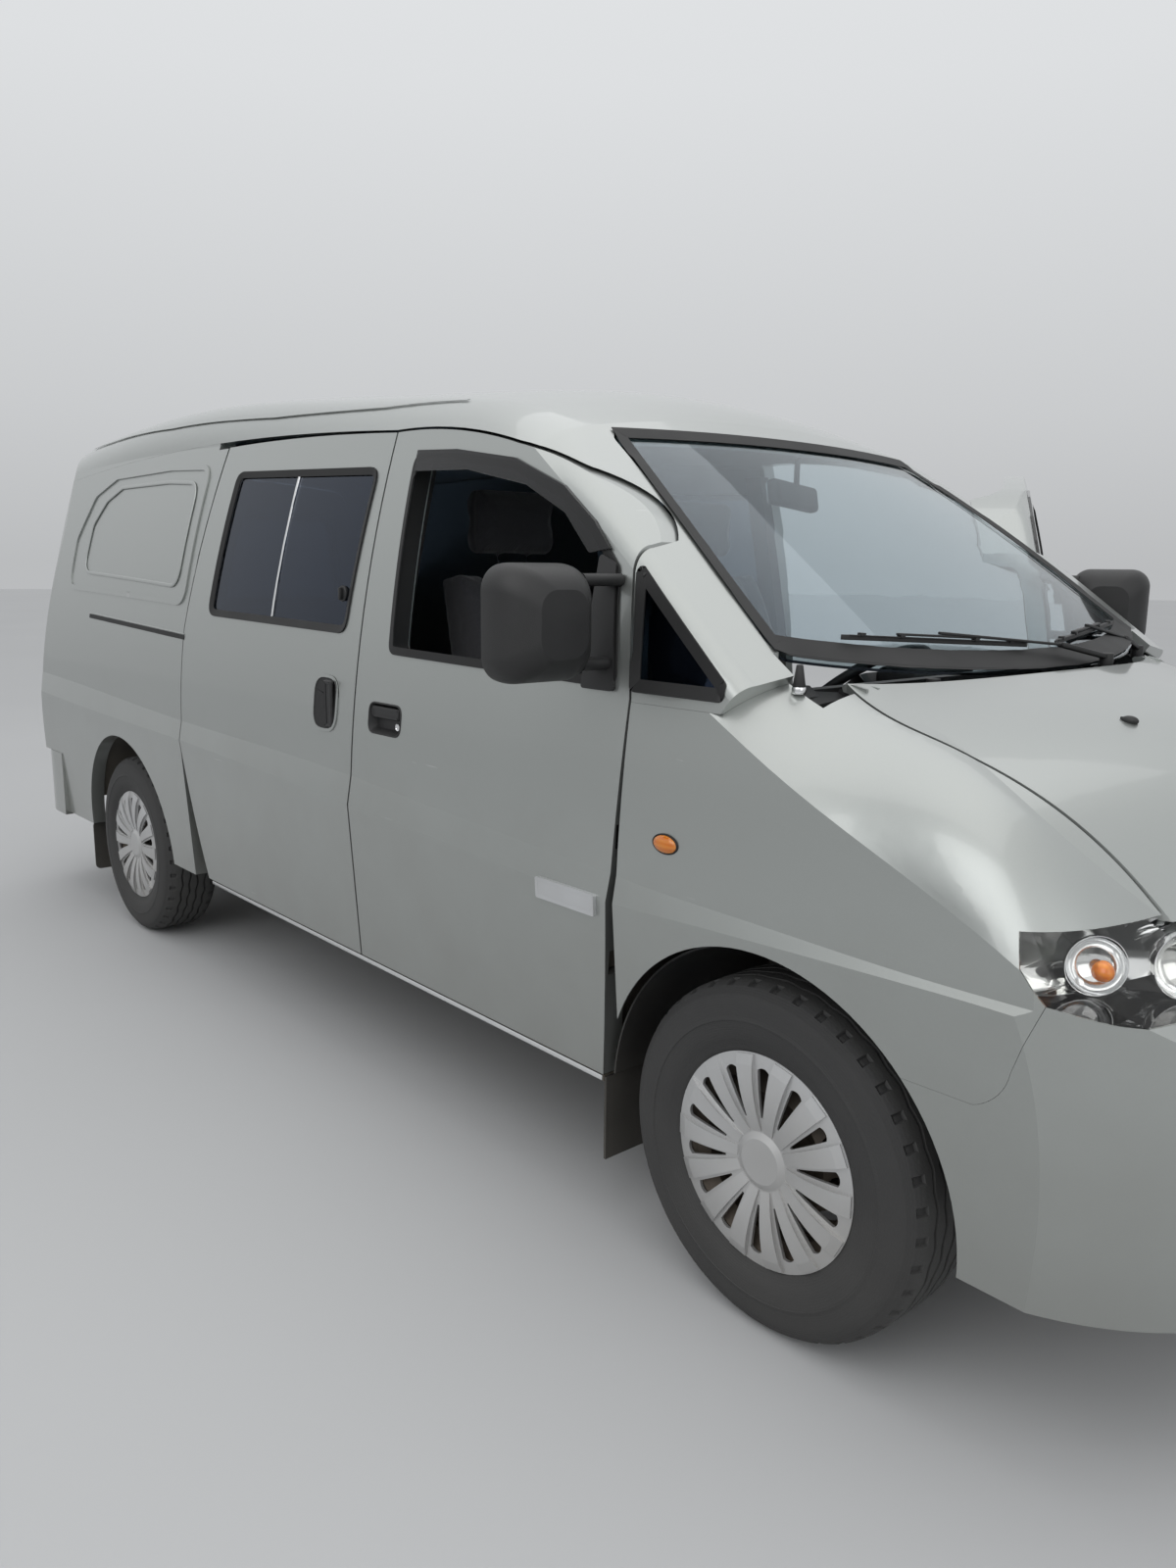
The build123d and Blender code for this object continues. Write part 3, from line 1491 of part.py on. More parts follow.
# Every named piece, in the order a fitter would hang them
pieces = [
    ("floor_pan", floor_pan.part),
    ("chassis_frame", chassis_frame.part),
    ("front_suspension", front_suspension.part),
    ("rear_axle", rear_axle.part),
    ("engine_block", engine_block.part),
    ("exhaust", exhaust.part),
    ("fuel_tank", fuel_tank.part),
    ("spare_wheel", spare_wheel.part),
    ("arch_liners", arch_liners.part),
    ("mudflaps", mudflaps.part),
    ("roof_panel", roof_panel.part),
    ("body_side_right", body_side_right),
    ("body_side_left", body_side_left),
    ("sliding_door", sliding_door.part),
    ("front_fenders", front_fenders.part),
    ("front_bumper", front_bumper.part),
    ("rear_bumper", rear_bumper.part),
    ("grille", grille.part),
    ("headlamps", headlamps.part),
    ("tail_lamps", tail_lamps.part),
    ("cowl", cowl.part),
    ("wipers", wipers.part),
    ("windscreen", windscreen.part),
    ("side_windows", side_windows.part),
    ("dashboard", dashboard.part),
    ("seat_bases", seat_bases.part),
    ("seat_cushions", seat_cushions.part),
    ("seat_backs", seat_backs.part),
    ("headrests", headrests.part),
    ("bed_frame", bed_frame.part),
    ("mattress", mattress.part),
    ("side_cabinet", side_cabinet.part),
    ("bonnet", bonnet.part),
    ("tailgate", tailgate.part),
    ("tailgate_glass", tailgate_glass.part),
    ("front_door_right", front_door_right),
    ("mirror_right", mirror.part),
    ("wind_deflector_right", wind_deflector.part),
    ("front_door_left", on_left_door(front_door_right)),
    ("mirror_left", on_left_door(mirror.part)),
    ("wind_deflector_left", on_left_door(wind_deflector.part)),
    ("steering_wheel", steering_wheel.part),
    ("knuckle_right", knuckle_body(-1)),
    ("knuckle_left", knuckle_body(1)),
]

# Four wheels, each a tyre, a rim and a cover
wheel_parts = [("tyre", tyre_body()), ("wheel", rim_body()), ("wheel_cover", cover_body())]
for corner_name, axle_x, wheel_y, side in corners:
    for part_name, piece in wheel_parts:
        placed = piece if side > 0 else piece.mirror(Plane.XZ)
        pieces.append((part_name + "_" + corner_name, Pos(axle_x, side * wheel_y, tyre_radius) * placed))

for piece_name, piece in pieces:
    piece.label = piece_name
    export_step(piece, "parts/" + piece_name + ".step")
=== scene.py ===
# %% [markdown]
# # A camper van, dressed in Blender
#
# The van's solid parts come from a CAD model: panels, doors, glass, wheels, seats and a chassis, each one a
# named object in metres. This lesson loads them as a fixed frame and adds what the CAD model leaves plain:
# rubber seals, lamp reflectors, tyre tread, handles, soft seats and, above all, finishes. Each new piece is
# told which body it rides on, so it follows when a door swings or a wheel turns.

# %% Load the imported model
import math

import bpy
from mathutils import Matrix, Quaternion, Vector
from mathutils.bvhtree import BVHTree


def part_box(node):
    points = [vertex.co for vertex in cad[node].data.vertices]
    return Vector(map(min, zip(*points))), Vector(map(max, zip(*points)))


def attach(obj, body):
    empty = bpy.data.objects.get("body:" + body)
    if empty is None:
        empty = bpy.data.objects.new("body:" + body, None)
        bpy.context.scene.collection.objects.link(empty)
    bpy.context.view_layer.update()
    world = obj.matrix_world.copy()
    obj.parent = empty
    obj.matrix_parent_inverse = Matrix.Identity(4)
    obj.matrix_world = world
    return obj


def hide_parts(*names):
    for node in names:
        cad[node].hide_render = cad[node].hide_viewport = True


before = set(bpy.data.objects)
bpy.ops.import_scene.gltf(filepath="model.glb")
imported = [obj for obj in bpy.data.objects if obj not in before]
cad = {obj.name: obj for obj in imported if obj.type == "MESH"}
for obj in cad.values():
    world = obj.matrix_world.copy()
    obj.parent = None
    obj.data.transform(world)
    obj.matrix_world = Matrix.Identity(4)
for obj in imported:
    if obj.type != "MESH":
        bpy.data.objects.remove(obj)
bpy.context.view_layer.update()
bpy.ops.object.select_all(action="DESELECT")

# %% [markdown]
# The camera comes first, because it decides which details count. The picture was taken by hand from about
# head height, off the right front corner, with the wide lens of a phone. A lens of 26.5 mm on a 36 mm sensor
# gives the same field of view, and a roll of half a degree is the slant of the hand.

# %% Camera
bpy.ops.object.camera_add(location=(2.7696, -2.3694, 1.3779))
camera = bpy.context.object
camera.name = "camera"
camera.data.lens = 26.5
camera.data.sensor_width = 36
camera.data.sensor_fit = "AUTO"
sight = Vector((-0.73955, 0.64698, -0.18571)).to_track_quat("-Z", "Y")
roll = Quaternion((0, 0, 1), math.radians(0.557))
camera.rotation_euler = (sight @ roll).to_euler()
bpy.context.scene.camera = camera
print("camera at", [round(v, 2) for v in camera.location])

# %% [markdown]
# The set is a pale floor and a pale sky. Silver paint has no look of its own: it shows what stands round it,
# so the sky is not one flat grey. It falls from bright overhead to a softer tone at the horizon, and the floor
# is a little darker again. That is what draws the light ledge and the darker sill along a van's side.

# %% Floor and sky
bpy.ops.mesh.primitive_circle_add(vertices=96, radius=60, fill_type="NGON", location=(0, 0, 0))
floor = bpy.context.object
floor.name = "floor"
floor_paint = bpy.data.materials.new("pale_floor")
floor_paint.use_nodes = True
nodes, links = floor_paint.node_tree.nodes, floor_paint.node_tree.links
shader = nodes["Principled BSDF"]
shader.inputs["Roughness"].default_value = 0.85
cloud = nodes.new("ShaderNodeTexNoise")
cloud.inputs["Scale"].default_value = 0.35
tone = nodes.new("ShaderNodeValToRGB")
tone.color_ramp.elements[0].color = (0.44, 0.445, 0.45, 1)
tone.color_ramp.elements[1].color = (0.48, 0.485, 0.49, 1)
where = nodes.new("ShaderNodeTexCoord")
links.new(where.outputs["Object"], cloud.inputs["Vector"])
links.new(cloud.outputs["Fac"], tone.inputs["Fac"])
links.new(tone.outputs["Color"], shader.inputs["Base Color"])
floor.data.materials.append(floor_paint)

sky = bpy.context.scene.world or bpy.data.worlds.new("sky")
bpy.context.scene.world = sky
sky.use_nodes = True
nodes, links = sky.node_tree.nodes, sky.node_tree.links
nodes.clear()
where = nodes.new("ShaderNodeTexCoord")
height = nodes.new("ShaderNodeSeparateXYZ")
bands = nodes.new("ShaderNodeValToRGB")
for place, value in ((0.0, 0.50), (0.12, 0.60), (0.35, 0.74), (0.7, 0.86), (1.0, 0.9)):
    stop = bands.color_ramp.elements[0] if place == 0 else bands.color_ramp.elements.new(place)
    stop.position = place
    stop.color = (value * 0.98, value, value * 1.02, 1)
light = nodes.new("ShaderNodeBackground")
out = nodes.new("ShaderNodeOutputWorld")
links.new(where.outputs["Generated"], height.inputs["Vector"])
links.new(height.outputs["Z"], bands.inputs["Fac"])
links.new(bands.outputs["Color"], light.inputs["Color"])
links.new(light.outputs["Background"], out.inputs["Surface"])
print("floor and sky set")

# %% [markdown]
# Three large soft lamps do the rest. One hangs high on the camera's side and rakes the flank, one stands in
# front of the nose, and a wide one overhead gives the roof its clean highlight.

# %% Lamps
for name, place, aim, size, power in (
    ("lamp_side", (2.5, -6.0, 5.5), (0.4, -0.6, 0.9), 6.0, 150),
    ("lamp_front", (7.5, -1.5, 3.6), (1.8, -0.2, 0.8), 5.0, 60),
    ("lamp_top", (-0.5, 1.0, 7.5), (-0.3, 0, 1.5), 8.0, 100),
):
    bpy.ops.object.light_add(type="AREA", location=place)
    lamp = bpy.context.object
    lamp.name = name
    lamp.data.size = size
    lamp.data.energy = power
    lamp.rotation_euler = (Vector(aim) - Vector(place)).to_track_quat("-Z", "Y").to_euler()
bpy.context.scene.view_settings.view_transform = "Standard"
print("three lamps lit")
# %% [markdown]
# ## Finishes shared by many materials
#
# Grain, dust, scratches and weave turn up on several surfaces, so each is built once as a node group with
# named inputs. A group only works out masks and heights. The shader itself stays in the material, where its
# plain settings are easy to find. Every pattern reads Object coordinates, which stay fixed to the piece.

# %% A helper that opens a new node group
def new_group(name, inputs, outputs):
    """Start a shader node group and hand back its nodes, links, input node and output node."""
    tree = bpy.data.node_groups.new(name, "ShaderNodeTree")
    for label, value in inputs.items():
        socket = tree.interface.new_socket(label, in_out="INPUT", socket_type="NodeSocketFloat")
        socket.default_value = value
    for label in outputs:
        tree.interface.new_socket(label, in_out="OUTPUT", socket_type="NodeSocketFloat")
    return tree.nodes, tree.links, tree.nodes.new("NodeGroupInput"), tree.nodes.new("NodeGroupOutput")


def maths(nodes, links, operation, *values):
    """Add one Math node. A value is a number or another node's output socket."""
    node = nodes.new("ShaderNodeMath")
    node.operation = operation
    for socket, value in zip(node.inputs, values):
        if isinstance(value, (int, float)):
            socket.default_value = value
        else:
            links.new(value, socket)
    return node.outputs[0]


print("group helper ready")

# %% [markdown]
# Moulded grain is what keeps black plastic from looking like wet paint. Small Voronoi cells give the pebbles
# and a finer noise roughens them.

# %% Grain group
nodes, links, given, result = new_group("grain", {"Scale": 900.0}, ("Height", "Tone"))
where = nodes.new("ShaderNodeTexCoord")
pebbles = nodes.new("ShaderNodeTexVoronoi")
fine = nodes.new("ShaderNodeTexNoise")
broad = nodes.new("ShaderNodeTexNoise")
broad.inputs["Scale"].default_value = 7
links.new(where.outputs["Object"], pebbles.inputs["Vector"])
links.new(where.outputs["Object"], fine.inputs["Vector"])
links.new(where.outputs["Object"], broad.inputs["Vector"])
links.new(given.outputs["Scale"], pebbles.inputs["Scale"])
links.new(given.outputs["Scale"], fine.inputs["Scale"])
links.new(
    maths(nodes, links, "MULTIPLY_ADD", fine.outputs["Fac"], 0.5, pebbles.outputs["Distance"]),
    result.inputs["Height"],
)
links.new(broad.outputs["Fac"], result.inputs["Tone"])
print("grain group made")

# %% [markdown]
# Road dust settles from the ground up. The mask mixes the height above the
# ground with a cloudy noise, so its edge is never a straight line.

# %% Dust group
nodes, links, given, result = new_group("dust", {"Top": 0.6, "Amount": 0.5}, ("Mask",))
where = nodes.new("ShaderNodeTexCoord")
split = nodes.new("ShaderNodeSeparateXYZ")
cloud = nodes.new("ShaderNodeTexNoise")
cloud.inputs["Scale"].default_value = 5
cloud.inputs["Detail"].default_value = 6
links.new(where.outputs["Object"], split.inputs["Vector"])
links.new(where.outputs["Object"], cloud.inputs["Vector"])
low = maths(
    nodes, links, "SUBTRACT", 1.0, maths(nodes, links, "DIVIDE", split.outputs["Z"], given.outputs["Top"]),
)
rough = maths(nodes, links, "MULTIPLY_ADD", cloud.outputs["Fac"], 1.6, -0.5)
mask = nodes.new("ShaderNodeClamp")
links.new(
    maths(
        nodes, links, "MULTIPLY", maths(nodes, links, "MULTIPLY_ADD", rough, 0.6, low),
        given.outputs["Amount"],
    ),
    mask.inputs["Value"],
)
links.new(mask.outputs["Result"], result.inputs["Mask"])
print("dust group made")

# %% [markdown]
# Fine scratches and wash marks are long, thin and all run roughly the same way. A noise that is stretched
# along the van and cut off near its peaks leaves just such hairs.

# %% Scratch group
nodes, links, given, result = new_group("scratches", {"Scale": 9.0, "Cut": 0.68}, ("Mask",))
where = nodes.new("ShaderNodeTexCoord")
stretch = nodes.new("ShaderNodeMapping")
stretch.inputs["Rotation"].default_value = (0.0, 0.35, 0.0)
stretch.inputs["Scale"].default_value = (1.0, 1.0, 26.0)
hairs = nodes.new("ShaderNodeTexNoise")
hairs.inputs["Detail"].default_value = 3
links.new(where.outputs["Object"], stretch.inputs["Vector"])
links.new(stretch.outputs["Vector"], hairs.inputs["Vector"])
links.new(given.outputs["Scale"], hairs.inputs["Scale"])
links.new(
    maths(nodes, links, "GREATER_THAN", hairs.outputs["Fac"], given.outputs["Cut"]), result.inputs["Mask"],
)
print("scratch group made")

# %% [markdown]
# Seat cloth is a plain weave. Two sets of sine waves cross on every face of a cushion, because each set runs
# along a slant of two axes at once, and their product is high where one thread passes over another.

# %% Weave group
nodes, links, given, result = new_group("weave", {"Threads": 1400.0}, ("Height", "Mask"))
where = nodes.new("ShaderNodeTexCoord")
split = nodes.new("ShaderNodeSeparateXYZ")
links.new(where.outputs["Object"], split.inputs["Vector"])
along = maths(nodes, links, "ADD", split.outputs["X"], split.outputs["Y"])
up = maths(nodes, links, "ADD", split.outputs["Z"], maths(nodes, links, "MULTIPLY", split.outputs["Y"], 0.6))
first = maths(nodes, links, "SINE", maths(nodes, links, "MULTIPLY", along, given.outputs["Threads"]))
second = maths(nodes, links, "SINE", maths(nodes, links, "MULTIPLY", up, given.outputs["Threads"]))
crossing = maths(nodes, links, "MULTIPLY_ADD", maths(nodes, links, "MULTIPLY", first, second), 0.5, 0.5)
links.new(crossing, result.inputs["Height"])
fleck = nodes.new("ShaderNodeTexNoise")
fleck.inputs["Scale"].default_value = 260
links.new(where.outputs["Object"], fleck.inputs["Vector"])
links.new(maths(nodes, links, "MULTIPLY", crossing, fleck.outputs["Fac"]), result.inputs["Mask"])
print("weave group made")

# %% [markdown]
# ## Materials
#
# One helper opens a material and mixes two tones of its colour by any mask. Roughness gets its own range the
# same way, and a Bump node turns a height into relief. What is the same all over, such as the coat or the
# index of refraction, is set straight on the shader.

# %% Material helper
class Finish:
    """A material under construction: its nodes, links and Principled shader."""

    def __init__(self, name, **plain):
        self.material = bpy.data.materials.new(name)
        self.material.use_nodes = True
        self.nodes, self.links = self.material.node_tree.nodes, self.material.node_tree.links
        self.shader = self.nodes["Principled BSDF"]
        for label, value in plain.items():
            self.shader.inputs[label.replace("_", " ")].default_value = value

    def add(self, kind, **values):
        node = self.nodes.new("ShaderNode" + kind)
        for label, value in values.items():
            node.inputs[label].default_value = value
        if "Vector" in node.inputs and kind.startswith("Tex"):
            self.links.new(self.coordinates(), node.inputs["Vector"])
        return node

    def group(self, name, **values):
        node = self.nodes.new("ShaderNodeGroup")
        node.node_tree = bpy.data.node_groups[name]
        for label, value in values.items():
            node.inputs[label].default_value = value
        return node

    def coordinates(self):
        return self.nodes.new("ShaderNodeTexCoord").outputs["Object"]

    def mix(self, mask, low, high):
        """Two colours, or a colour and another node's colour, mixed by a mask."""
        node = self.nodes.new("ShaderNodeMix")
        node.data_type = "RGBA"
        self.links.new(mask, node.inputs["Factor"])
        for socket, value in ((node.inputs[6], low), (node.inputs[7], high)):
            if isinstance(value, tuple):
                socket.default_value = (*value, 1)
            else:
                self.links.new(value, socket)
        return node.outputs[2]

    def spread(self, mask, low, high, label):
        """A value between two limits, led by a mask, linked to one of the shader's sockets."""
        node = self.nodes.new("ShaderNodeMapRange")
        node.inputs["To Min"].default_value = low
        node.inputs["To Max"].default_value = high
        self.links.new(mask, node.inputs["Value"])
        self.links.new(node.outputs["Result"], self.shader.inputs[label])

    def colour(self, socket):
        self.links.new(socket, self.shader.inputs["Base Color"])

    def relief(self, height, strength, depth=0.001):
        node = self.nodes.new("ShaderNodeBump")
        node.inputs["Strength"].default_value = strength
        node.inputs["Distance"].default_value = depth
        self.links.new(height, node.inputs["Height"])
        self.links.new(node.outputs["Normal"], self.shader.inputs["Normal"])


print("material helper ready")

# %% [markdown]
# Silver paint is aluminium flake under clear lacquer. The base is mostly metallic and fairly rough, the coat
# on top is sharp. Flakes come from a very fine Voronoi that nudges the tone, a slow noise gives the faint
# waviness of sprayed panels, and dust greys the sills.

# %% Body paint
paint = Finish("silver_paint", Metallic=0.82, Coat_Weight=0.8, Coat_Roughness=0.05)
flakes = paint.add("TexVoronoi", Scale=1500.0)
broad = paint.add("TexNoise", Scale=1.3, Detail=3.0)
tone = paint.mix(flakes.outputs["Distance"], (0.33, 0.35, 0.34), (0.43, 0.45, 0.435))
tone = paint.mix(broad.outputs["Fac"], tone, (0.39, 0.405, 0.39))
dust = paint.group("dust", Top=0.75, Amount=0.34)
marks = paint.group("scratches", Scale=5.0, Cut=0.775)
tone = paint.mix(marks.outputs["Mask"], tone, (0.50, 0.51, 0.50))
tone = paint.mix(dust.outputs["Mask"], tone, (0.22, 0.21, 0.185))
paint.colour(tone)
paint.spread(flakes.outputs["Distance"], 0.30, 0.42, "Roughness")
peel = paint.add("TexNoise", Scale=85.0, Detail=2.0)
paint.relief(peel.outputs["Fac"], 0.05)
print("paint done")

# %% [markdown]
# Everything underneath is brushed with black wax that dries blotchy and holds dust. Cast knuckles and the
# engine share a rougher, greyer version.

# %% Underbody and castings
wax = Finish("underbody_wax", Metallic=0.1)
blot = wax.add("TexNoise", Scale=14.0, Detail=8.0)
tone = wax.mix(blot.outputs["Fac"], (0.018, 0.018, 0.018), (0.06, 0.055, 0.05))
dust = wax.group("dust", Top=0.8, Amount=0.8)
wax.colour(wax.mix(dust.outputs["Mask"], tone, (0.17, 0.15, 0.12)))
wax.spread(blot.outputs["Fac"], 0.45, 0.85, "Roughness")
wax.relief(blot.outputs["Fac"], 0.4, 0.003)

casting = Finish("grey_casting", Metallic=0.55)
sand = casting.group("grain", Scale=420.0)
tone = casting.mix(sand.outputs["Tone"], (0.13, 0.125, 0.12), (0.26, 0.25, 0.24))
dust = casting.group("dust", Top=0.9, Amount=0.6)
casting.colour(casting.mix(dust.outputs["Mask"], tone, (0.22, 0.16, 0.11)))
casting.spread(sand.outputs["Tone"], 0.5, 0.8, "Roughness")
casting.relief(sand.outputs["Height"], 0.5)
print("underside done")

# %% [markdown]
# Outside plastic, such as the mirrors, cowl and wipers, fades to dark grey in the sun, so its tone drifts a
# little between black and charcoal. Inside plastic is darker, and rubber is the mattest of the three.

# %% Plastics and rubber
def moulded(name, dark, pale, scale, low, high, strength=0.35, top=0.5, amount=0.3):
    """Grained plastic or rubber between two tones."""
    made = Finish(name)
    pebble = made.group("grain", Scale=scale)
    tone = made.mix(pebble.outputs["Tone"], (dark,) * 3, (pale, pale, pale * 1.03))
    veil = made.group("dust", Top=top, Amount=amount)
    made.colour(made.mix(veil.outputs["Mask"], tone, (0.16, 0.145, 0.12)))
    made.spread(pebble.outputs["Tone"], low, high, "Roughness")
    made.relief(pebble.outputs["Height"], strength, 0.0006)
    return made


plastic = moulded("weathered_plastic", 0.007, 0.020, 750.0, 0.38, 0.58)
trim = moulded("cabin_plastic", 0.010, 0.020, 620.0, 0.5, 0.66)
grip = moulded("grip_leather", 0.014, 0.026, 480.0, 0.42, 0.55)
rubber = moulded("seal_rubber", 0.005, 0.011, 300.0, 0.5, 0.7, 0.2, 0.5, 0.12)
flap = moulded("flap_rubber", 0.008, 0.018, 260.0, 0.6, 0.85, 0.3, 0.6, 0.3)
box_black = moulded("seat_box_black", 0.015, 0.03, 200.0, 0.35, 0.5, 0.1)
print("plastics and rubber done")

# %% [markdown]
# Glass bends light in proportion to its index, so it needs real thickness, which the CAD panes have. The
# screen has a pale blue tint. Privacy glass is dyed through, and a thin film of dust breaks up its gloss.

# %% Glass
def pane(name, tint, dusty, painted_sky_tint=(1, 1, 1)):
    """Transparent glass with a few smears in its roughness, and its reflections tinted by a painted sky colour."""
    # Painted reflection: Specular Tint colours the glass's reflections blue, like a sky.
    made = Finish(name, Transmission_Weight=1.0, IOR=1.45, Roughness=0.0, Specular_Tint=(*painted_sky_tint, 1))
    smear = made.add("TexNoise", Scale=3.5, Detail=5.0)
    made.colour(made.mix(smear.outputs["Fac"], tint, tuple(v * 0.93 for v in tint)))
    made.spread(smear.outputs["Fac"], 0.0, dusty, "Roughness")
    return made


# The last colour of the screen and privacy glass is a painted blue sky reflection.
clear = pane("screen_glass", (0.52, 0.62, 0.66), 0.02, (0.65, 0.8, 1.0))
privacy = pane("privacy_glass", (0.05, 0.07, 0.10), 0.03, (0.35, 0.55, 1.0))
smoke = pane("smoked_acrylic", (0.07, 0.07, 0.08), 0.05)

lens = Finish("lamp_lens", Transmission_Weight=1.0, IOR=1.06, Coat_Weight=0.7, Coat_Roughness=0.02)
haze = lens.add("TexNoise", Scale=18.0, Detail=4.0)
lens.colour(lens.mix(haze.outputs["Fac"], (0.97, 0.97, 0.96), (0.90, 0.90, 0.86)))
lens.spread(haze.outputs["Fac"], 0.0, 0.05, "Roughness")
print("glass done")

# %% [markdown]
# Coloured lenses are moulded with rows of tiny prisms. A pair of crossed waves makes the ribs, and the colour
# is painted darker in the valleys as shade.

# %% Coloured lenses
def coloured_lens(name, dark, bright, pitch=420.0):
    """Red, amber or clear ribbed plastic."""
    made = Finish(name, Coat_Weight=0.6, Coat_Roughness=0.03, IOR=1.49, Transmission_Weight=0.35)
    split = made.add("SeparateXYZ")
    made.links.new(made.coordinates(), split.inputs["Vector"])
    across = maths(
        made.nodes, made.links, "SINE", maths(made.nodes, made.links, "MULTIPLY", split.outputs["Y"], pitch),
    )
    down = maths(
        made.nodes, made.links, "SINE", maths(made.nodes, made.links, "MULTIPLY", split.outputs["Z"], pitch),
    )
    ribs = maths(
        made.nodes, made.links, "MULTIPLY_ADD", maths(made.nodes, made.links, "ADD", across, down), 0.25, 0.5,
    )
    # Painted shade: the lens colour goes to its darker tone where the ribs are low.
    made.colour(made.mix(ribs, dark, bright))
    made.spread(ribs, 0.08, 0.2, "Roughness")
    made.relief(ribs, 0.35, 0.001)
    return made


red_lens = coloured_lens("red_lens", (0.25, 0.006, 0.006), (0.62, 0.02, 0.015))
amber_lens = coloured_lens("amber_lens", (0.75, 0.19, 0.01), (0.95, 0.33, 0.03), 600.0)
white_lens = coloured_lens("white_lens", (0.55, 0.55, 0.56), (0.8, 0.8, 0.8))
print("lenses done")

# %% [markdown]
# The seats wear a dark grey flat weave and the mattress a paler one. Threads give the height, flecks break
# the colour and a sheen softens the edges as real fibres do.

# %% Cloth
def woven(name, dark, pale, threads):
    """Woven cloth between two tones."""
    made = Finish(name, Sheen_Weight=0.25, Sheen_Roughness=0.5)
    cloth = made.group("weave", Threads=threads)
    made.colour(made.mix(cloth.outputs["Mask"], dark, pale))
    made.spread(cloth.outputs["Mask"], 0.95, 0.75, "Roughness")
    made.relief(cloth.outputs["Height"], 0.5, 0.0008)
    return made


seat_cloth = woven("seat_cloth", (0.018, 0.018, 0.021), (0.075, 0.075, 0.085), 1500.0)
bed_cloth = woven("bed_cloth", (0.17, 0.19, 0.21), (0.42, 0.44, 0.46), 1100.0)
print("cloth done")

# %% [markdown]
# The bed and its cabinet are birch plywood. Wood has long figure along the board: noise stretched nine times
# along the van gives it, and a finer copy adds pores.

# %% Plywood
ply = Finish("birch_ply", Coat_Weight=0.25, Coat_Roughness=0.25)
run = ply.add("Mapping")
run.inputs["Scale"].default_value = (1.0, 9.0, 9.0)
ply.links.new(ply.coordinates(), run.inputs["Vector"])
figure = ply.nodes.new("ShaderNodeTexNoise")
figure.inputs["Scale"].default_value = 6
figure.inputs["Detail"].default_value = 7
ply.links.new(run.outputs["Vector"], figure.inputs["Vector"])
ply.colour(ply.mix(figure.outputs["Fac"], (0.40, 0.265, 0.14), (0.68, 0.53, 0.34)))
ply.spread(figure.outputs["Fac"], 0.35, 0.6, "Roughness")
ply.relief(figure.outputs["Fac"], 0.15)
print("plywood done")

# %% [markdown]
# Wheel covers are plastic sprayed silver, already a little dulled by brake dust. The steel wheels behind are
# black, and bright parts such as reflectors and mirror glass are almost pure metal.

# %% Wheel, bright and metal finishes
cover = Finish("cover_silver", Metallic=0.65, Coat_Weight=0.3, Coat_Roughness=0.1)
speck = cover.group("grain", Scale=1400.0)
tone = cover.mix(speck.outputs["Tone"], (0.52, 0.53, 0.54), (0.63, 0.64, 0.65))
dust = cover.group("dust", Top=0.7, Amount=0.42)
cover.colour(cover.mix(dust.outputs["Mask"], tone, (0.27, 0.24, 0.20)))
cover.spread(dust.outputs["Mask"], 0.28, 0.6, "Roughness")

steel = Finish("wheel_steel", Metallic=0.4)
speck = steel.group("grain", Scale=300.0)
tone = steel.mix(speck.outputs["Tone"], (0.02, 0.02, 0.021), (0.07, 0.065, 0.06))
steel.colour(steel.mix(steel.group("dust", Top=0.7, Amount=0.7).outputs["Mask"], tone, (0.2, 0.16, 0.12)))
steel.spread(speck.outputs["Tone"], 0.4, 0.7, "Roughness")

bright = Finish("bright_metal", Metallic=1.0)
ripple = bright.add("TexNoise", Scale=40.0, Detail=3.0)
bright.colour(bright.mix(ripple.outputs["Fac"], (0.78, 0.79, 0.80), (0.9, 0.9, 0.9)))
bright.spread(ripple.outputs["Fac"], 0.04, 0.16, "Roughness")
print("metals done")

# %% [markdown]
# The CAD nodes already have the right shapes, so most only need a finish. A table says which node wears
# which.

# %% Finishes on the CAD nodes
wears = {
    paint: "roof_panel body_side_right body_side_left sliding_door front_fenders front_bumper rear_bumper bonnet "
    "tailgate front_door_right front_door_left",
    wax: "floor_pan chassis_frame front_suspension rear_axle fuel_tank exhaust",
    casting: "engine_block knuckle_right knuckle_left",
    plastic: "arch_liners grille cowl wipers mirror_right mirror_left",
    trim: "dashboard",
    smoke: "wind_deflector_right wind_deflector_left",
    flap: "mudflaps",
    lens: "headlamps",
    red_lens: "tail_lamps",
    clear: "windscreen",
    privacy: "side_windows tailgate_glass",
    grip: "steering_wheel",
    box_black: "seat_bases",
    seat_cloth: "seat_cushions seat_backs headrests",
    bed_cloth: "mattress",
    ply: "bed_frame side_cabinet",
    rubber: "tyre_front_right tyre_front_left tyre_rear_right tyre_rear_left",
    steel: "spare_wheel wheel_front_right wheel_front_left wheel_rear_right wheel_rear_left",
    cover: "wheel_cover_front_right wheel_cover_front_left wheel_cover_rear_right wheel_cover_rear_left",
}
for finish, names in wears.items():
    for name in names.split():
        node = cad[name]
        node.data.materials.clear()
        node.data.materials.append(finish.material)
print("finishes on", sum(len(names.split()) for names in wears.values()), "nodes")

# %% [markdown]
# ## Helpers for modelling
#
# Parts on the body have to follow its curved skin. A ray is shot at the CAD panels from outside and the
# piece is laid where it lands. Rays that fall into a shut line would sink, so five are sent close together
# and the outermost hit counts.

# %% Find the skin
outer = (
    "roof_panel body_side_right body_side_left sliding_door front_fenders front_bumper rear_bumper bonnet tailgate "
    "front_door_right windscreen side_windows tailgate_glass headlamps tail_lamps"
).split()
trees = {}
for name in outer + ["cowl", "dashboard", "front_door_left"]:
    trees[name] = BVHTree.FromObject(cad[name], bpy.context.evaluated_depsgraph_get())


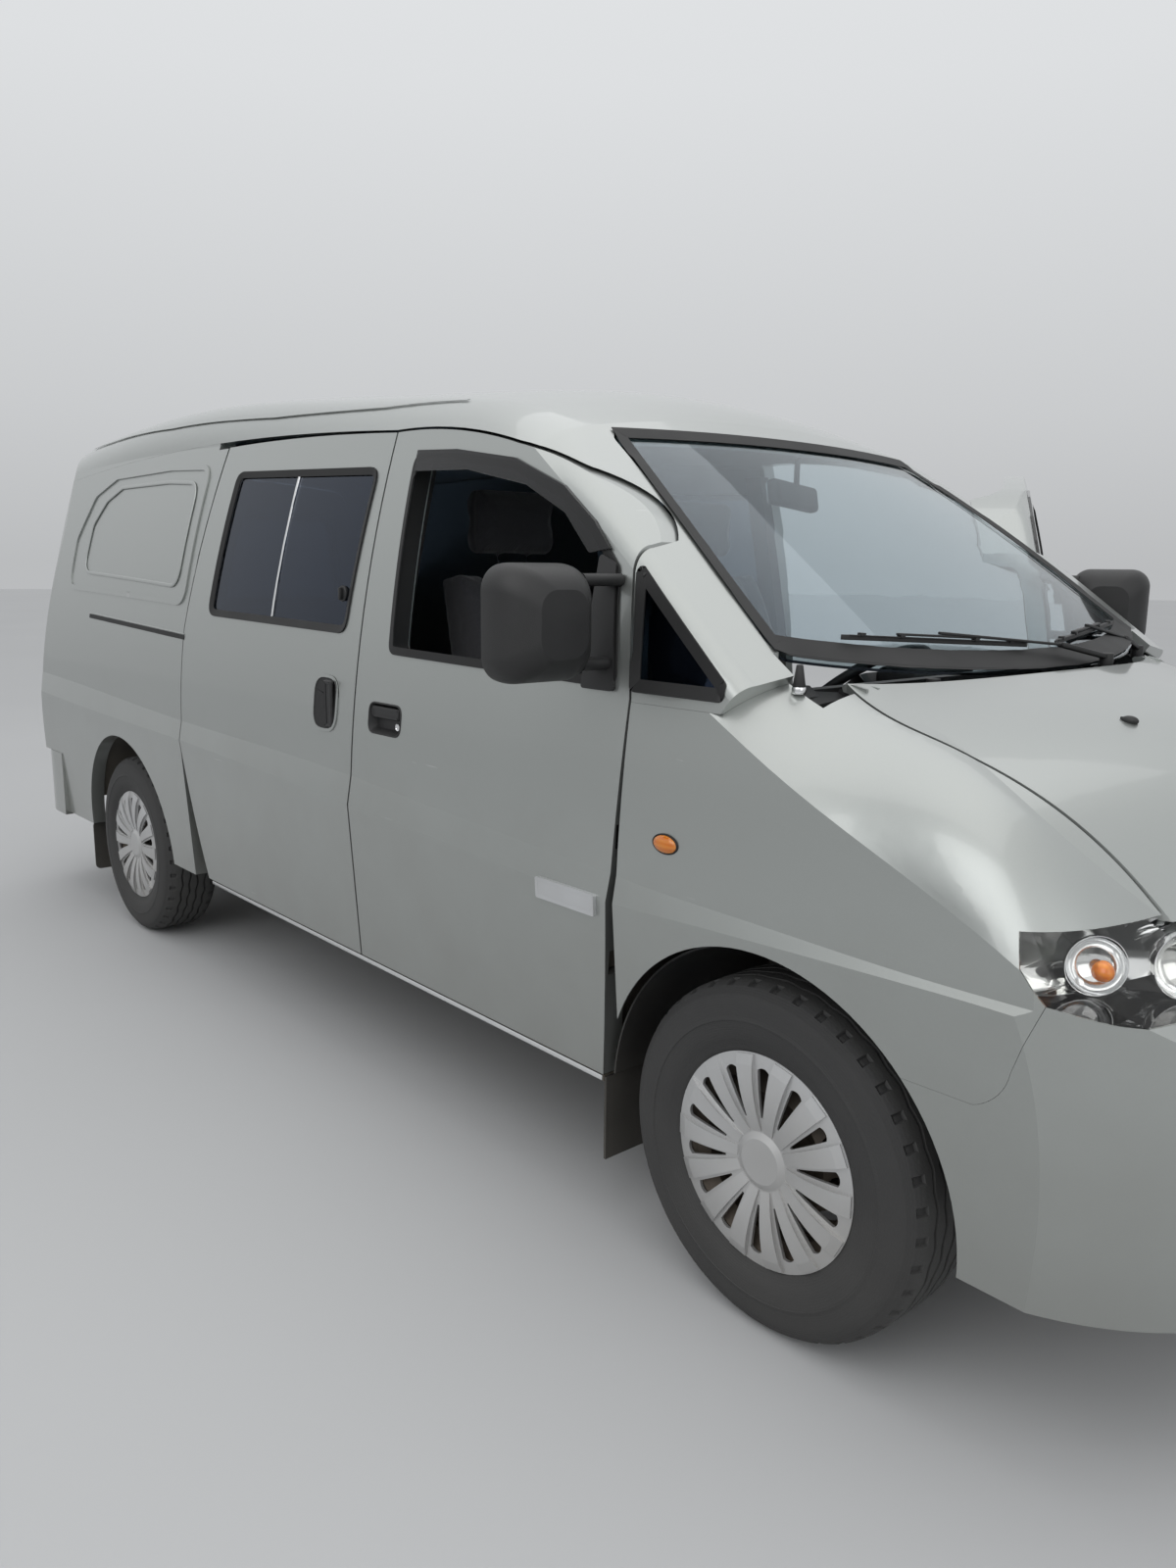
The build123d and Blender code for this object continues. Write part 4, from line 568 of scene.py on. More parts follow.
def hit(point, towards, names=outer, deepest=0.75):
    """The outermost place on the skin seen from a point in one direction."""
    towards = Vector(towards).normalized()
    side = towards.orthogonal().normalized()
    up = towards.cross(side)
    for reach in (0.006, 0.02, 0.034, 0.05):
        near = []
        for step in (Vector(), side, -side, up, -up):
            for name in names:
                found = trees[name].ray_cast(Vector(point) + step * reach, towards)[0]
                if found is not None and (found - Vector(point)).dot(towards) < deepest:
                    near.append((found - Vector(point)).dot(towards))
        if near:
            return Vector(point) + towards * min(near)
    return None


def side_point(x, z, side=-1, names=outer):
    """A point on the van's right (-1) or left (1) side at x, z."""
    found = hit((x, side * 1.3, z), (0, -side, 0), names)
    return found if found is not None else Vector((x, side * 0.85, z))


def top_point(x, y, names=outer):
    """A point on the top skin at x, y."""
    found = hit((x, y, 2.3), (0, 0, -1), names, 2)
    return found if found is not None else Vector((x, y, 1.2))


def back_point(y, z, names=outer):
    """A point on the tail at y, z."""
    return hit((-3.2, y, z), (1, 0, 0), names, 1)


def front_point(y, z, names=outer):
    """A point on the nose at y, z."""
    return hit((3.2, y, z), (-1, 0, 0), names, 2)


print("right side at the front door's handle:", [round(v, 3) for v in side_point(0.3, 1.0)])

# %% [markdown]
# Each finished piece gets the same last steps: its place is moved into its mesh, doubles are merged, faces
# are turned outwards, edges are smoothed by angle, and it is given a finish and a body to ride on. A helper
# keeps these together.

# %% Finishing helper
def settle(piece, name, finish, body, smooth=35, inward=False):
    """Name a piece, apply its place, clean its mesh, and tell it what it wears and rides on."""
    bpy.ops.object.select_all(action="DESELECT")
    piece.select_set(True)
    bpy.context.view_layer.objects.active = piece
    if piece.type != "MESH":
        bpy.ops.object.convert(target="MESH")
    bpy.ops.object.transform_apply(location=True, rotation=True, scale=True)
    for modifier in list(piece.modifiers):
        bpy.ops.object.modifier_apply(modifier=modifier.name)
    bpy.ops.object.mode_set(mode="EDIT")
    bpy.ops.mesh.select_all(action="SELECT")
    bpy.ops.mesh.remove_doubles(threshold=0.00005)
    bpy.ops.mesh.normals_make_consistent(inside=inward)
    bpy.ops.object.mode_set(mode="OBJECT")
    bpy.ops.object.shade_smooth_by_angle(angle=math.radians(smooth))
    piece.name = piece.data.name = name
    piece.data.materials.clear()
    piece.data.materials.append(finish.material)
    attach(piece, body)
    piece.select_set(False)
    return piece


def edit(action="SELECT"):
    """Go into edit mode with all or nothing selected."""
    bpy.ops.object.mode_set(mode="EDIT")
    bpy.ops.mesh.select_all(action=action)


def leave():
    """Go back to object mode."""
    bpy.ops.object.mode_set(mode="OBJECT")


def pick(piece, rule):
    """Select the faces whose centre and normal obey a rule, from edit mode and back to it."""
    leave()
    for face in piece.data.polygons:
        face.select = bool(rule(face.center, face.normal))
    for part in (piece.data.vertices, piece.data.edges):
        for item in part:
            item.select = False
    bpy.ops.object.mode_set(mode="EDIT")
    bpy.ops.mesh.select_mode(type="FACE")


def fresh():
    """Deselect everything before a new primitive."""
    if bpy.context.object and bpy.context.object.mode != "OBJECT":
        leave()
    bpy.ops.object.select_all(action="DESELECT")


def turn_towards(piece, outward):
    """Make an open sheet's normals agree, and turn them all if they look away from a direction."""
    edit()
    bpy.ops.mesh.normals_make_consistent(inside=False)
    leave()
    if sum(face.normal.dot(outward) * face.area for face in piece.data.polygons) < 0:
        edit()
        bpy.ops.mesh.flip_normals()
        leave()


def modifier(piece, kind, **values):
    """Add a modifier with its settings, then apply it."""
    made = piece.modifiers.new(kind.lower(), kind)
    for label, value in values.items():
        setattr(made, label, value)
    bpy.context.view_layer.objects.active = piece
    bpy.ops.object.modifier_apply(modifier=made.name)


def join(pieces):
    """Make one object of several and hand it back."""
    bpy.ops.object.select_all(action="DESELECT")
    for piece in pieces:
        piece.select_set(True)
    bpy.context.view_layer.objects.active = pieces[0]
    bpy.ops.object.join()
    return bpy.context.object


print("finishing helpers ready")

# %% [markdown]
# Outlines on the van have rounded corners. This helper takes corner points and swings a small arc round
# each, and a second one moves a whole outline inwards by a fixed distance.

# %% Outline helpers
def rounded(corners, radius, steps=6):
    """A closed outline with arcs at its corners, as a list of 2-D points."""
    points = []
    count = len(corners)
    for i, corner in enumerate(corners):
        here = Vector(corner)
        before = Vector(corners[i - 1]) - here
        after = Vector(corners[(i + 1) % count]) - here
        angle = before.angle(after)
        cut = min(radius / math.tan(angle / 2), before.length * 0.48, after.length * 0.48)
        start, end = here + before.normalized() * cut, here + after.normalized() * cut
        for k in range(steps + 1):
            t = k / steps
            points.append(start.lerp(here, t).lerp(here.lerp(end, t), t))
    return points


def inset(points, distance):
    """The same outline moved inwards, point by point."""
    area = sum(points[i - 1].x * points[i].y - points[i].x * points[i - 1].y for i in range(len(points)))
    turn = 1 if area > 0 else -1
    moved = []
    for i, point in enumerate(points):
        along = points[(i + 1) % len(points)] - points[i - 1]
        along = along.normalized() if along.length > 1e-9 else Vector((1, 0))
        moved.append(point + Vector((-along.y, along.x)) * distance * turn)
    return moved


def fine(points, step=0.03):
    """Extra points along the long straight runs of an outline."""
    dense = []
    for i, point in enumerate(points):
        after = points[(i + 1) % len(points)]
        parts = max(1, round((after - point).length / step))
        dense.extend(point.lerp(after, k / parts) for k in range(parts))
    return dense


def band(outline, width, place, lift=0.0015, thick=0.003):
    """A flat strip of rubber along an outline, laid on the skin by place(a, b) and given thickness."""
    fresh()
    dense = fine(outline)
    count = len(dense)
    bpy.ops.mesh.primitive_circle_add(vertices=count, radius=1)
    strip = bpy.context.object
    edit()
    bpy.ops.mesh.primitive_circle_add(vertices=count, radius=0.5)
    leave()
    rim = dense + inset(dense, width)
    for vertex, flat in zip(strip.data.vertices, rim):
        spot, outward = place(flat.x, flat.y)
        vertex.co = spot + outward * lift
    edit()
    bpy.ops.mesh.bridge_edge_loops()
    leave()
    turn_towards(strip, place(dense[0].x, dense[0].y)[1])
    modifier(strip, "SOLIDIFY", thickness=thick, offset=1)
    return strip


print("outline helpers ready")

# %% [markdown]
# ## Windows
#
# The photo shows black rubber round every pane. It is a flat lip a finger wide that lies half on the glass
# and half on the paint, so it is made as a strip between two outlines and laid on the skin by rays. The
# left door stands open, so its pieces are made shut on the left side, as mirror twins, and swung out about
# the hinge with the rest.

# %% Rubber round the right side's windows
def on_side(side):
    """Where an outline point lands on one side, and which way is outwards there."""
    def place(x, z):
        return side_point(x, z, side), Vector((0, side, 0))
    return place


front_window = [
    (0.302, 1.160), (0.271, 1.645), (0.456, 1.635), (0.692, 1.601), (0.884, 1.533), (1.004, 1.458),
    (1.094, 1.376), (1.134, 1.145),
]
slide_window = [(-0.789, 1.213), (-0.741, 1.655), (0.111, 1.623), (0.079, 1.197)]
quarter_window = [(1.1695, 1.143), (1.1415, 1.3745), (1.1535, 1.381), (1.409, 1.178), (1.409, 1.143)]

hinge = Vector((1.112, 0.878, 0))
swing = Matrix.Translation(hinge) @ Matrix.Rotation(math.radians(-63), 4, "Z") @ Matrix.Translation(-hinge)


def door_pair(piece, name, finish, smooth=35):
    """Settle a right door piece, then give the open left door its twin."""
    right = settle(piece, name + "_right", finish, "front_door_right", smooth)
    fresh()
    right.select_set(True)
    bpy.context.view_layer.objects.active = right
    bpy.ops.object.duplicate()
    twin = bpy.context.object
    twin.matrix_world = swing @ Matrix.Scale(-1, 4, (0, 1, 0))
    return right, settle(twin, name + "_left", finish, "front_door_left", smooth)


seal = band(rounded([Vector(p) for p in front_window], 0.03), 0.020, on_side(-1), 0.0008, 0.003)
door_pair(seal, "door_window_rubber", rubber)
for side, word in ((-1, "right"), (1, "left")):
    seal = band(rounded([Vector(p) for p in slide_window], 0.045), 0.020, on_side(side), 0.0008, 0.003)
    settle(seal, "load_window_rubber_" + word, rubber, "body")
    seal = band(rounded([Vector(p) for p in quarter_window], 0.016), 0.024, on_side(side), 0.0008, 0.003)
    settle(seal, "quarter_window_rubber_" + word, rubber, "body")
print("six side window rubbers")

# %% [markdown]
# The load space window is in two panes. The rear one slides, so a thin bright strip stands between them and
# a small round latch sits near the front edge.

# %% Divider and latch of the sliding pane
def block(low, high, soft=0.004, segments=3):
    """A box with soft edges between two corners."""
    fresh()
    low, high = Vector(low), Vector(high)
    bpy.ops.mesh.primitive_cube_add(size=1, location=(low + high) / 2, scale=high - low)
    made = bpy.context.object
    bpy.ops.object.transform_apply(location=True, rotation=True, scale=True)
    modifier(made, "BEVEL", width=soft, segments=segments)
    return made


for side, word in ((-1, "right"), (1, "left")):
    strip = block((-0.5, -0.5, 0), (0.5, 0.5, 1), 0.12, 2)
    edit()
    bpy.ops.mesh.bisect(plane_co=(0, 0, 0.25), plane_no=(0, 0, 1))
    bpy.ops.mesh.select_all(action="SELECT")
    bpy.ops.mesh.bisect(plane_co=(0, 0, 0.5), plane_no=(0, 0, 1))
    bpy.ops.mesh.select_all(action="SELECT")
    bpy.ops.mesh.bisect(plane_co=(0, 0, 0.75), plane_no=(0, 0, 1))
    leave()
    for vertex in strip.data.vertices:
        wide, deep, t = vertex.co
        x, z = -0.358 + 0.023 * t, 1.220 + 0.420 * t
        skin = side_point(x, z, side)
        vertex.co = (x + wide * 0.010, skin.y + side * (0.001 + deep * 0.006), z)
    settle(strip, "pane_divider_" + word, bright, "body")
    fresh()
    spot = side_point(0.030, 1.300, side)
    bpy.ops.mesh.primitive_cylinder_add(
        vertices=28, radius=0.021, depth=0.010, location=spot, rotation=(math.pi / 2, 0, 0),
    )
    latch = bpy.context.object
    modifier(latch, "BEVEL", width=0.003, segments=3, limit_method="ANGLE")
    fresh()
    bpy.ops.mesh.primitive_cube_add(
        size=1, location=spot + Vector((0, side * 0.008, 0)), scale=(0.010, 0.012, 0.032),
    )
    tab = bpy.context.object
    modifier(tab, "BEVEL", width=0.003, segments=2)
    settle(join([latch, tab]), "pane_latch_" + word, plastic, "body")
print("dividers and latches")

# %% [markdown]
# The windscreen is glued in, and a painted black border hides the glue. On this kind of van it is wide along
# the bottom. Its strip is laid on the glass from above, following the screen's outline in plan.

# %% Border of the windscreen
def on_top(x, y):
    """Where a point in plan lands on the screen, and the screen's slope there."""
    spot = top_point(x, y, ["windscreen", "roof_panel"])
    return spot, Vector((0.5, 0, 0.87))


def arc(a, b, c, steps=14):
    """Points on a smooth curve from a through b to c."""
    return [
        Vector(a) * (1 - t) * (1 - 2 * t) + Vector(b) * 4 * t * (1 - t) + Vector(c) * t * (2 * t - 1)
        for t in (k / steps for k in range(steps))
    ]


screen = arc((0.768, 0.560), (0.816, 0), (0.768, -0.560)) + arc(
    (0.768, -0.560), (1.085, -0.655), (1.400, -0.722),
)
screen += arc((1.400, -0.722), (1.580, 0), (1.400, 0.722)) + arc(
    (1.400, 0.722), (1.085, 0.655), (0.768, 0.560),
)
border = band(screen, 0.030, on_top, 0.0008, 0.0015)
settle(border, "screen_border", rubber, "body")
print("windscreen border laid")

# %% [markdown]
# ## Handles, lamps and small parts on the sides
#
# The front doors have a black cup with a flap that is pulled outwards. The cup is a rounded frame round the
# recess in the panel, a floor behind it and a flap hinged along the top, with the lock below.

# %% Front door handles
cup = [Vector((0.228, 0.960)), Vector((0.382, 0.960)), Vector((0.382, 1.040)), Vector((0.228, 1.040))]
frame_ring = band(rounded(cup, 0.028), 0.012, on_side(-1), 0.0, 0.004)
back = block((0.236, -0.8665, 0.968), (0.374, -0.862, 1.032), 0.001, 1)
flap_piece = block((0.242, -0.884, 1.000), (0.368, -0.869, 1.030), 0.006)
edit("DESELECT")
pick(flap_piece, lambda c, n: n.y < -0.9)
bpy.ops.mesh.inset(thickness=0.006, depth=-0.0015)
leave()
door_pair(join([frame_ring, back, flap_piece]), "front_door_handle", plastic)
fresh()
bpy.ops.mesh.primitive_cylinder_add(
    vertices=24, radius=0.009, depth=0.012, location=(0.350, -0.8695, 0.984), rotation=(math.pi / 2, 0, 0),
)
lock = bpy.context.object
edit("DESELECT")
pick(lock, lambda c, n: abs(n.z) > 0.9 and c.z > 0)
bpy.ops.mesh.inset(thickness=0.002, depth=-0.0015)
leave()
door_pair(lock, "front_door_lock", bright)
print("front handles and locks")

# %% [markdown]
# The sliding door is pulled along, so its handle is an upright bar in a deeper cup. From the camera the
# cup's rear wall catches the light beside the black bar.

# %% Sliding door handle
cup = [Vector((-0.062, 0.938)), Vector((0.072, 0.938)), Vector((0.072, 1.088)), Vector((-0.062, 1.088))]
ring_piece = band(rounded(cup, 0.055), 0.008, on_side(-1), 0.0, 0.003)
settle(ring_piece, "slide_handle_lip", paint, "body")
inner = band(rounded(cup, 0.055), 0.062, on_side(-1), -0.0002, 0.0012)
settle(inner, "slide_handle_shadow", rubber, "body")
bar_piece = block((0.012, -0.8935, 0.950), (0.052, -0.8805, 1.076), 0.0062, 4)
edit("DESELECT")
pick(bar_piece, lambda c, n: n.y < -0.9)
bpy.ops.mesh.inset(thickness=0.007, depth=-0.003)
leave()
settle(bar_piece, "slide_handle_bar", plastic, "body")
print("sliding door handle")

# %% [markdown]
# A small amber repeater sits on each front wing, an oval lens in a thin black gasket. Half of a flattened
# sphere would look like a button, so it starts as one and its rim is pressed flat against the panel.

# %% Side repeaters
for side, word in ((-1, "right"), (1, "left")):
    fresh()
    spot = side_point(1.303, 0.874, side)
    bpy.ops.mesh.primitive_uv_sphere_add(
        segments=32, ring_count=16, radius=1, location=spot, scale=(0.030, 0.011, 0.017),
    )
    lens_piece = bpy.context.object
    edit()
    bpy.ops.mesh.bisect(
        plane_co=spot - Vector((0, side * 0.001, 0)), plane_no=(0, -side, 0), clear_outer=True, use_fill=True,
    )
    leave()
    settle(lens_piece, "side_repeater_" + word, amber_lens, "body")
    fresh()
    bpy.ops.mesh.primitive_torus_add(
        major_segments=36, minor_segments=8, major_radius=1, minor_radius=0.1, location=spot,
        rotation=(math.pi / 2, 0, 0),
    )
    gasket = bpy.context.object
    gasket.scale = (0.031, 0.018, 0.022)
    settle(gasket, "repeater_gasket_" + word, rubber, "body")
print("side repeaters")

# %% [markdown]
# The stub of the aerial stands on the right wing beside the bonnet: a short black cone on a bright collar.
# One washer jet sits on each half of the bonnet.

# %% Aerial and washer jets
spot = top_point(1.470, -0.735)
fresh()
bpy.ops.mesh.primitive_cylinder_add(
    vertices=24, radius=0.013, depth=0.014, location=spot + Vector((0, 0, 0.004)),
)
collar = bpy.context.object
modifier(collar, "BEVEL", width=0.003, segments=2, limit_method="ANGLE")
settle(collar, "aerial_collar", bright, "body")
fresh()
bpy.ops.mesh.primitive_cone_add(
    vertices=24, radius1=0.012, radius2=0.006, depth=0.040, location=spot + Vector((0, 0, 0.030)),
)
stub = bpy.context.object
modifier(stub, "BEVEL", width=0.002, segments=2, limit_method="ANGLE")
settle(stub, "aerial_stub", plastic, "body")
for side, word in ((-1, "right"), (1, "left")):
    spot = top_point(1.88, side * 0.33)
    fresh()
    bpy.ops.mesh.primitive_uv_sphere_add(
        segments=20, ring_count=12, radius=1, location=spot, scale=(0.016, 0.010, 0.009),
    )
    jet = bpy.context.object
    edit()
    bpy.ops.mesh.bisect(
        plane_co=spot - Vector((0, 0, 0.004)), plane_no=(-0.3, 0, -1), clear_outer=True, use_fill=True,
    )
    leave()
    nozzle = block(spot + Vector((-0.016, -0.003, 0.001)), spot + Vector((-0.008, 0.003, 0.006)), 0.001, 2)
    jet = join([jet, nozzle])
    settle(jet, "washer_jet_" + word, plastic, "bonnet")
print("aerial and two washer jets")

# %% [markdown]
# Low on the front doors is a small raised plate. It stays bare here: a bevelled slab in a dull silver with
# a sunk middle.

# %% Bare plates on the front doors
plate = block((0.944, -0.9155, 0.696), (1.128, -0.9, 0.741), 0.004)
for vertex in plate.data.vertices:
    vertex.co.y = side_point(vertex.co.x, vertex.co.z, -1).y - 0.004 - (
        0.004 if vertex.co.y < -0.908 else -0.005
    )
edit("DESELECT")
pick(plate, lambda c, n: n.y < -0.9)
bpy.ops.mesh.inset(thickness=0.007, depth=-0.0015)
leave()
door_pair(plate, "door_plate_bare", cover)
print("bare plates")

# %% [markdown]
# ## Tyres
#
# A CAD tyre is a plain ring. The real ones are all-season van tyres, worn and grey, with four wavy grooves,
# slots across the shoulders and fine rings on the walls. The cross-section is drawn as a closed loop, spun
# once round the axle in 120 steps, and the groove edges are then pushed left and right in turn, which makes
# the waves. It is modelled once and copied to the four corners.

# %% One tyre, spun round the axle
def tyre_profile():
    """Cross-section of the tyre as (across, radius, wave): wave marks the groove edges that zigzag."""
    tread = [(-0.0845, 0.3195, 0), (-0.0740, 0.3262, 0), (-0.0620, 0.3285, 0)]
    for centre, waves in ((-0.042, 1), (-0.014, -1), (0.014, 1), (0.042, -1)):
        tread += [
            (centre - 0.0042, 0.3296, waves), (centre - 0.0028, 0.3216, waves),
            (centre + 0.0028, 0.3216, waves), (centre + 0.0042, 0.3296, waves),
        ]
    tread += [(0.0620, 0.3285, 0), (0.0740, 0.3262, 0), (0.0845, 0.3195, 0)]
    wall = [
        (0.0900, 0.3100, 0), (0.0920, 0.3085, 0), (0.0945, 0.3060, 0), (0.0985, 0.2900, 0),
        (0.1015, 0.2700, 0), (0.1022, 0.2640, 0), (0.1030, 0.2630, 0), (0.1030, 0.2600, 0),
    ]
    wall += [
        (0.1018, 0.2590, 0), (0.1000, 0.2400, 0), (0.0960, 0.2230, 0), (0.0950, 0.2215, 0),
        (0.0905, 0.2080, 0), (0.0860, 0.2000, 0), (0.0765, 0.1925, 0),
    ]
    inside = [
        (0.0700, 0.1925, 0), (0.0850, 0.2600, 0), (0.0600, 0.3080, 0), (-0.0600, 0.3080, 0),
        (-0.0850, 0.2600, 0), (-0.0700, 0.1925, 0),
    ]
    return tread + wall + inside + [(-y, r, w) for y, r, w in reversed(wall)]


profile = tyre_profile()
steps = 120
fresh()
bpy.ops.mesh.primitive_circle_add(vertices=len(profile), radius=1)
tyre = bpy.context.object
for vertex, (across, radius, _) in zip(tyre.data.vertices, profile):
    vertex.co = (0, across, radius)
edit()
bpy.ops.mesh.spin(steps=steps, angle=math.tau, center=(0, 0, 0), axis=(0, 1, 0))
bpy.ops.mesh.select_all(action="SELECT")
bpy.ops.mesh.remove_doubles(threshold=0.0001)
bpy.ops.mesh.normals_make_consistent(inside=False)
leave()
for vertex in tyre.data.vertices:
    radius = math.hypot(vertex.co.x, vertex.co.z)
    step = round(math.atan2(vertex.co.x, vertex.co.z) / math.tau * steps) % 4
    for across, level, wave in profile:
        if wave and abs(vertex.co.y - across) < 0.0002 and abs(radius - level) < 0.0003:
            vertex.co.y += wave * (0.0030, 0.0, -0.0030, 0.0)[step]
            break
print("tyre of", len(tyre.data.polygons), "faces")

# %% [markdown]
# The shoulders carry short slots across the tread. Every third face of the two shoulder rows is picked,
# inset a little and pushed in.

# %% Slots across the shoulders
edit("DESELECT")
bpy.ops.mesh.select_mode(type="FACE")


def shoulder(centre, normal):
    step = round(math.atan2(centre.x, centre.z) / math.tau * steps - 0.5) % 3
    return step == 0 and 0.060 < abs(centre.y) < 0.0805 and math.hypot(centre.x, centre.z) > 0.32


pick(tyre, shoulder)
bpy.ops.mesh.inset(thickness=0.0035, depth=-0.005, use_individual=False)
leave()
print("slots cut, now", len(tyre.data.polygons), "faces")

# %% [markdown]
# Rubber that has seen years of gravel goes grey on its crown and stays darker in the grooves and on the
# walls. The tone follows the distance from the axle, which a small node group works out from the wheel's own
# centre, and the same distance draws fine rings on the walls.

# %% Tyre material, one for each axle because its centre differs
nodes, links, given, result = new_group(
    "wheel_rings", {"Axle X": 0.0, "Axle Z": 0.33, "Rings": 1400.0}, ("Crown", "Height"),
)
where = nodes.new("ShaderNodeTexCoord")
split = nodes.new("ShaderNodeSeparateXYZ")
links.new(where.outputs["Object"], split.inputs["Vector"])
across = maths(nodes, links, "SUBTRACT", split.outputs["X"], given.outputs["Axle X"])
up = maths(nodes, links, "SUBTRACT", split.outputs["Z"], given.outputs["Axle Z"])
radius = maths(
    nodes, links, "SQRT",
    maths(
        nodes, links, "ADD", maths(nodes, links, "MULTIPLY", across, across),
        maths(nodes, links, "MULTIPLY", up, up),
    ),
)
clamp = nodes.new("ShaderNodeClamp")
links.new(
    maths(nodes, links, "MULTIPLY", maths(nodes, links, "SUBTRACT", radius, 0.3225), 160.0),
    clamp.inputs["Value"],
)
links.new(clamp.outputs["Result"], result.inputs["Crown"])
links.new(
    maths(nodes, links, "SINE", maths(nodes, links, "MULTIPLY", radius, given.outputs["Rings"])),
    result.inputs["Height"],
)


def tyre_finish(name, axle_x):
    """Worn rubber for the wheel on one axle."""
    made = Finish(name)
    rings = made.group("wheel_rings")
    rings.inputs["Axle X"].default_value = axle_x
    speck = made.group("grain", Scale=240.0)
    tone = made.mix(speck.outputs["Tone"], (0.016, 0.016, 0.017), (0.036, 0.036, 0.036))
    tone = made.mix(rings.outputs["Crown"], tone, (0.055, 0.055, 0.054))
    made.colour(
        made.mix(made.group("dust", Top=0.7, Amount=0.25).outputs["Mask"], tone, (0.085, 0.082, 0.076))
    )
    made.spread(speck.outputs["Tone"], 0.62, 0.88, "Roughness")
    made.relief(
        maths(made.nodes, made.links, "MULTIPLY_ADD", rings.outputs["Height"], 0.25, speck.outputs["Height"]),
        0.5, 0.0006,
    )
    return made


front_rubber, rear_rubber = tyre_finish("tyre_front", 1.54), tyre_finish("tyre_rear", -1.54)
corners = {
    "front_right": (1.54, -0.785), "front_left": (1.54, 0.785),
    "rear_right": (-1.54, -0.775), "rear_left": (-1.54, 0.775),
}
for word, (x, y) in corners.items():
    fresh()
    tyre.select_set(True)
    bpy.context.view_layer.objects.active = tyre
    bpy.ops.object.duplicate()
    copy = bpy.context.object
    copy.location = (x, y, 0.33)
    settle(
        copy, "tyre_tread_" + word, front_rubber if x > 0 else rear_rubber, "road_wheel_" + word,
        40,
    )
    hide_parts("tyre_" + word)
bpy.data.objects.remove(tyre)
print("four tyres fitted")

# %% [markdown]
# Behind the slotted covers sit five wheel nuts. A nut is a six-sided cylinder with its
# outer corners turned down.

# %% Wheel nuts
for word, (x, y) in corners.items():
    side = 1 if y > 0 else -1
    nuts = []
    for turn in range(5):
        angle = math.tau * turn / 5 + 0.3
        fresh()
        spot = Vector((x + 0.057 * math.cos(angle), y + side * 0.034, 0.33 + 0.057 * math.sin(angle)))
        bpy.ops.mesh.primitive_cylinder_add(
            vertices=6, radius=0.0115, depth=0.018, location=spot, rotation=(math.pi / 2, 0, 0),
        )
        nut = bpy.context.object
        modifier(nut, "BEVEL", width=0.002, segments=2, limit_method="ANGLE")
        nuts.append(nut)
    settle(join(nuts), "wheel_nuts_" + word, steel, "road_wheel_" + word)
print("nuts on four wheels")

# %% [markdown]
# ## Mirrors
#
# Each housing is open at the back, where the glass sits on a tilting plate. The plate is a rounded block
# that follows the opening, and the glass is a thin slab in front of it with a fine bevel. The open left door
# gets the same pieces, swung with it.

# %% Mirror glass and its plate
outline = rounded(
    [Vector(p) for p in ((-1.116, 1.170), (-0.920, 1.170), (-0.920, 1.374), (-1.116, 1.374))], 0.045, 8,
)


def flat_plate(points, x, thick):
    """A closed slab in the plane x, made by filling an outline and giving it thickness."""
    fresh()
    bpy.ops.mesh.primitive_circle_add(vertices=len(points), radius=1, fill_type="NGON")
    plate = bpy.context.object
    for vertex, flat in zip(plate.data.vertices, points):
        vertex.co = (x, flat.x, flat.y)
    modifier(plate, "SOLIDIFY", thickness=thick, offset=0)
    modifier(plate, "BEVEL", width=thick * 0.3, segments=2, limit_method="ANGLE")
    return plate


door_pair(flat_plate(outline, 1.0465, 0.003), "mirror_plate", plastic)
door_pair(flat_plate(inset(outline, 0.009), 1.0435, 0.0024), "mirror_glass", bright, 30)
print("mirror glass")

# %% [markdown]
# ## Tail
#
# Each tail lamp is four lenses in one frame: red for the brakes on top, amber for turning, clear below for
# reversing, and red again at the foot. The bare CAD lamp gives the block, and thin curved lens shells are
# laid over it, each with its own colour and a dark gap between.

# %% Tail lamp lenses
def on_tail(y, z):
    """Where an outline point lands on the tail."""
    found = back_point(y, z)
    return (found if found is not None else Vector((-2.56, y, z))), Vector((-1, 0, 0))


def patch(corners, radius, place, lift, thick, name, finish, body, cuts=3):
    """A filled patch laid on the skin, with rounded corners and thickness."""
    points = fine(rounded([Vector(c) for c in corners], radius), 0.05)
    fresh()
    bpy.ops.mesh.primitive_circle_add(vertices=len(points), radius=1, fill_type="TRIFAN")
    piece = bpy.context.object
    middle = sum(points, Vector((0, 0))) / len(points)
    flat = points + [middle]
    order = sorted(range(len(piece.data.vertices)), key=lambda i: piece.data.vertices[i].co.length < 0.5)
    for index, spot in zip(order, flat):
        piece.data.vertices[index].co = (spot.x, spot.y, 0)
    edit()
    bpy.ops.mesh.subdivide(number_cuts=cuts)
    leave()
    outward = Vector((1, 0, 0))
    for vertex in piece.data.vertices:
        spot, outward = place(vertex.co.x, vertex.co.y)
        vertex.co = spot + outward * lift
    turn_towards(piece, outward)
    modifier(piece, "SOLIDIFY", thickness=thick, offset=1)
    return settle(piece, name, finish, body)


for side, word in ((-1, "right"), (1, "left")):
    for low, high, finish, label in (
        (0.850, 0.898, red_lens, "foot"), (0.904, 0.958, white_lens, "reversing"),
        (0.964, 1.040, amber_lens, "turning"), (1.046, 1.150, red_lens, "brake"),
    ):
        corners_here = ((side * 0.757, low), (side * 0.845, low), (side * 0.845, high), (side * 0.757, high))
        patch(
            corners_here, 0.008, on_tail, 0.001, 0.003, "tail_lens_" + label + "_" + word, finish, "body",
            2,
        )
print("tail lenses")
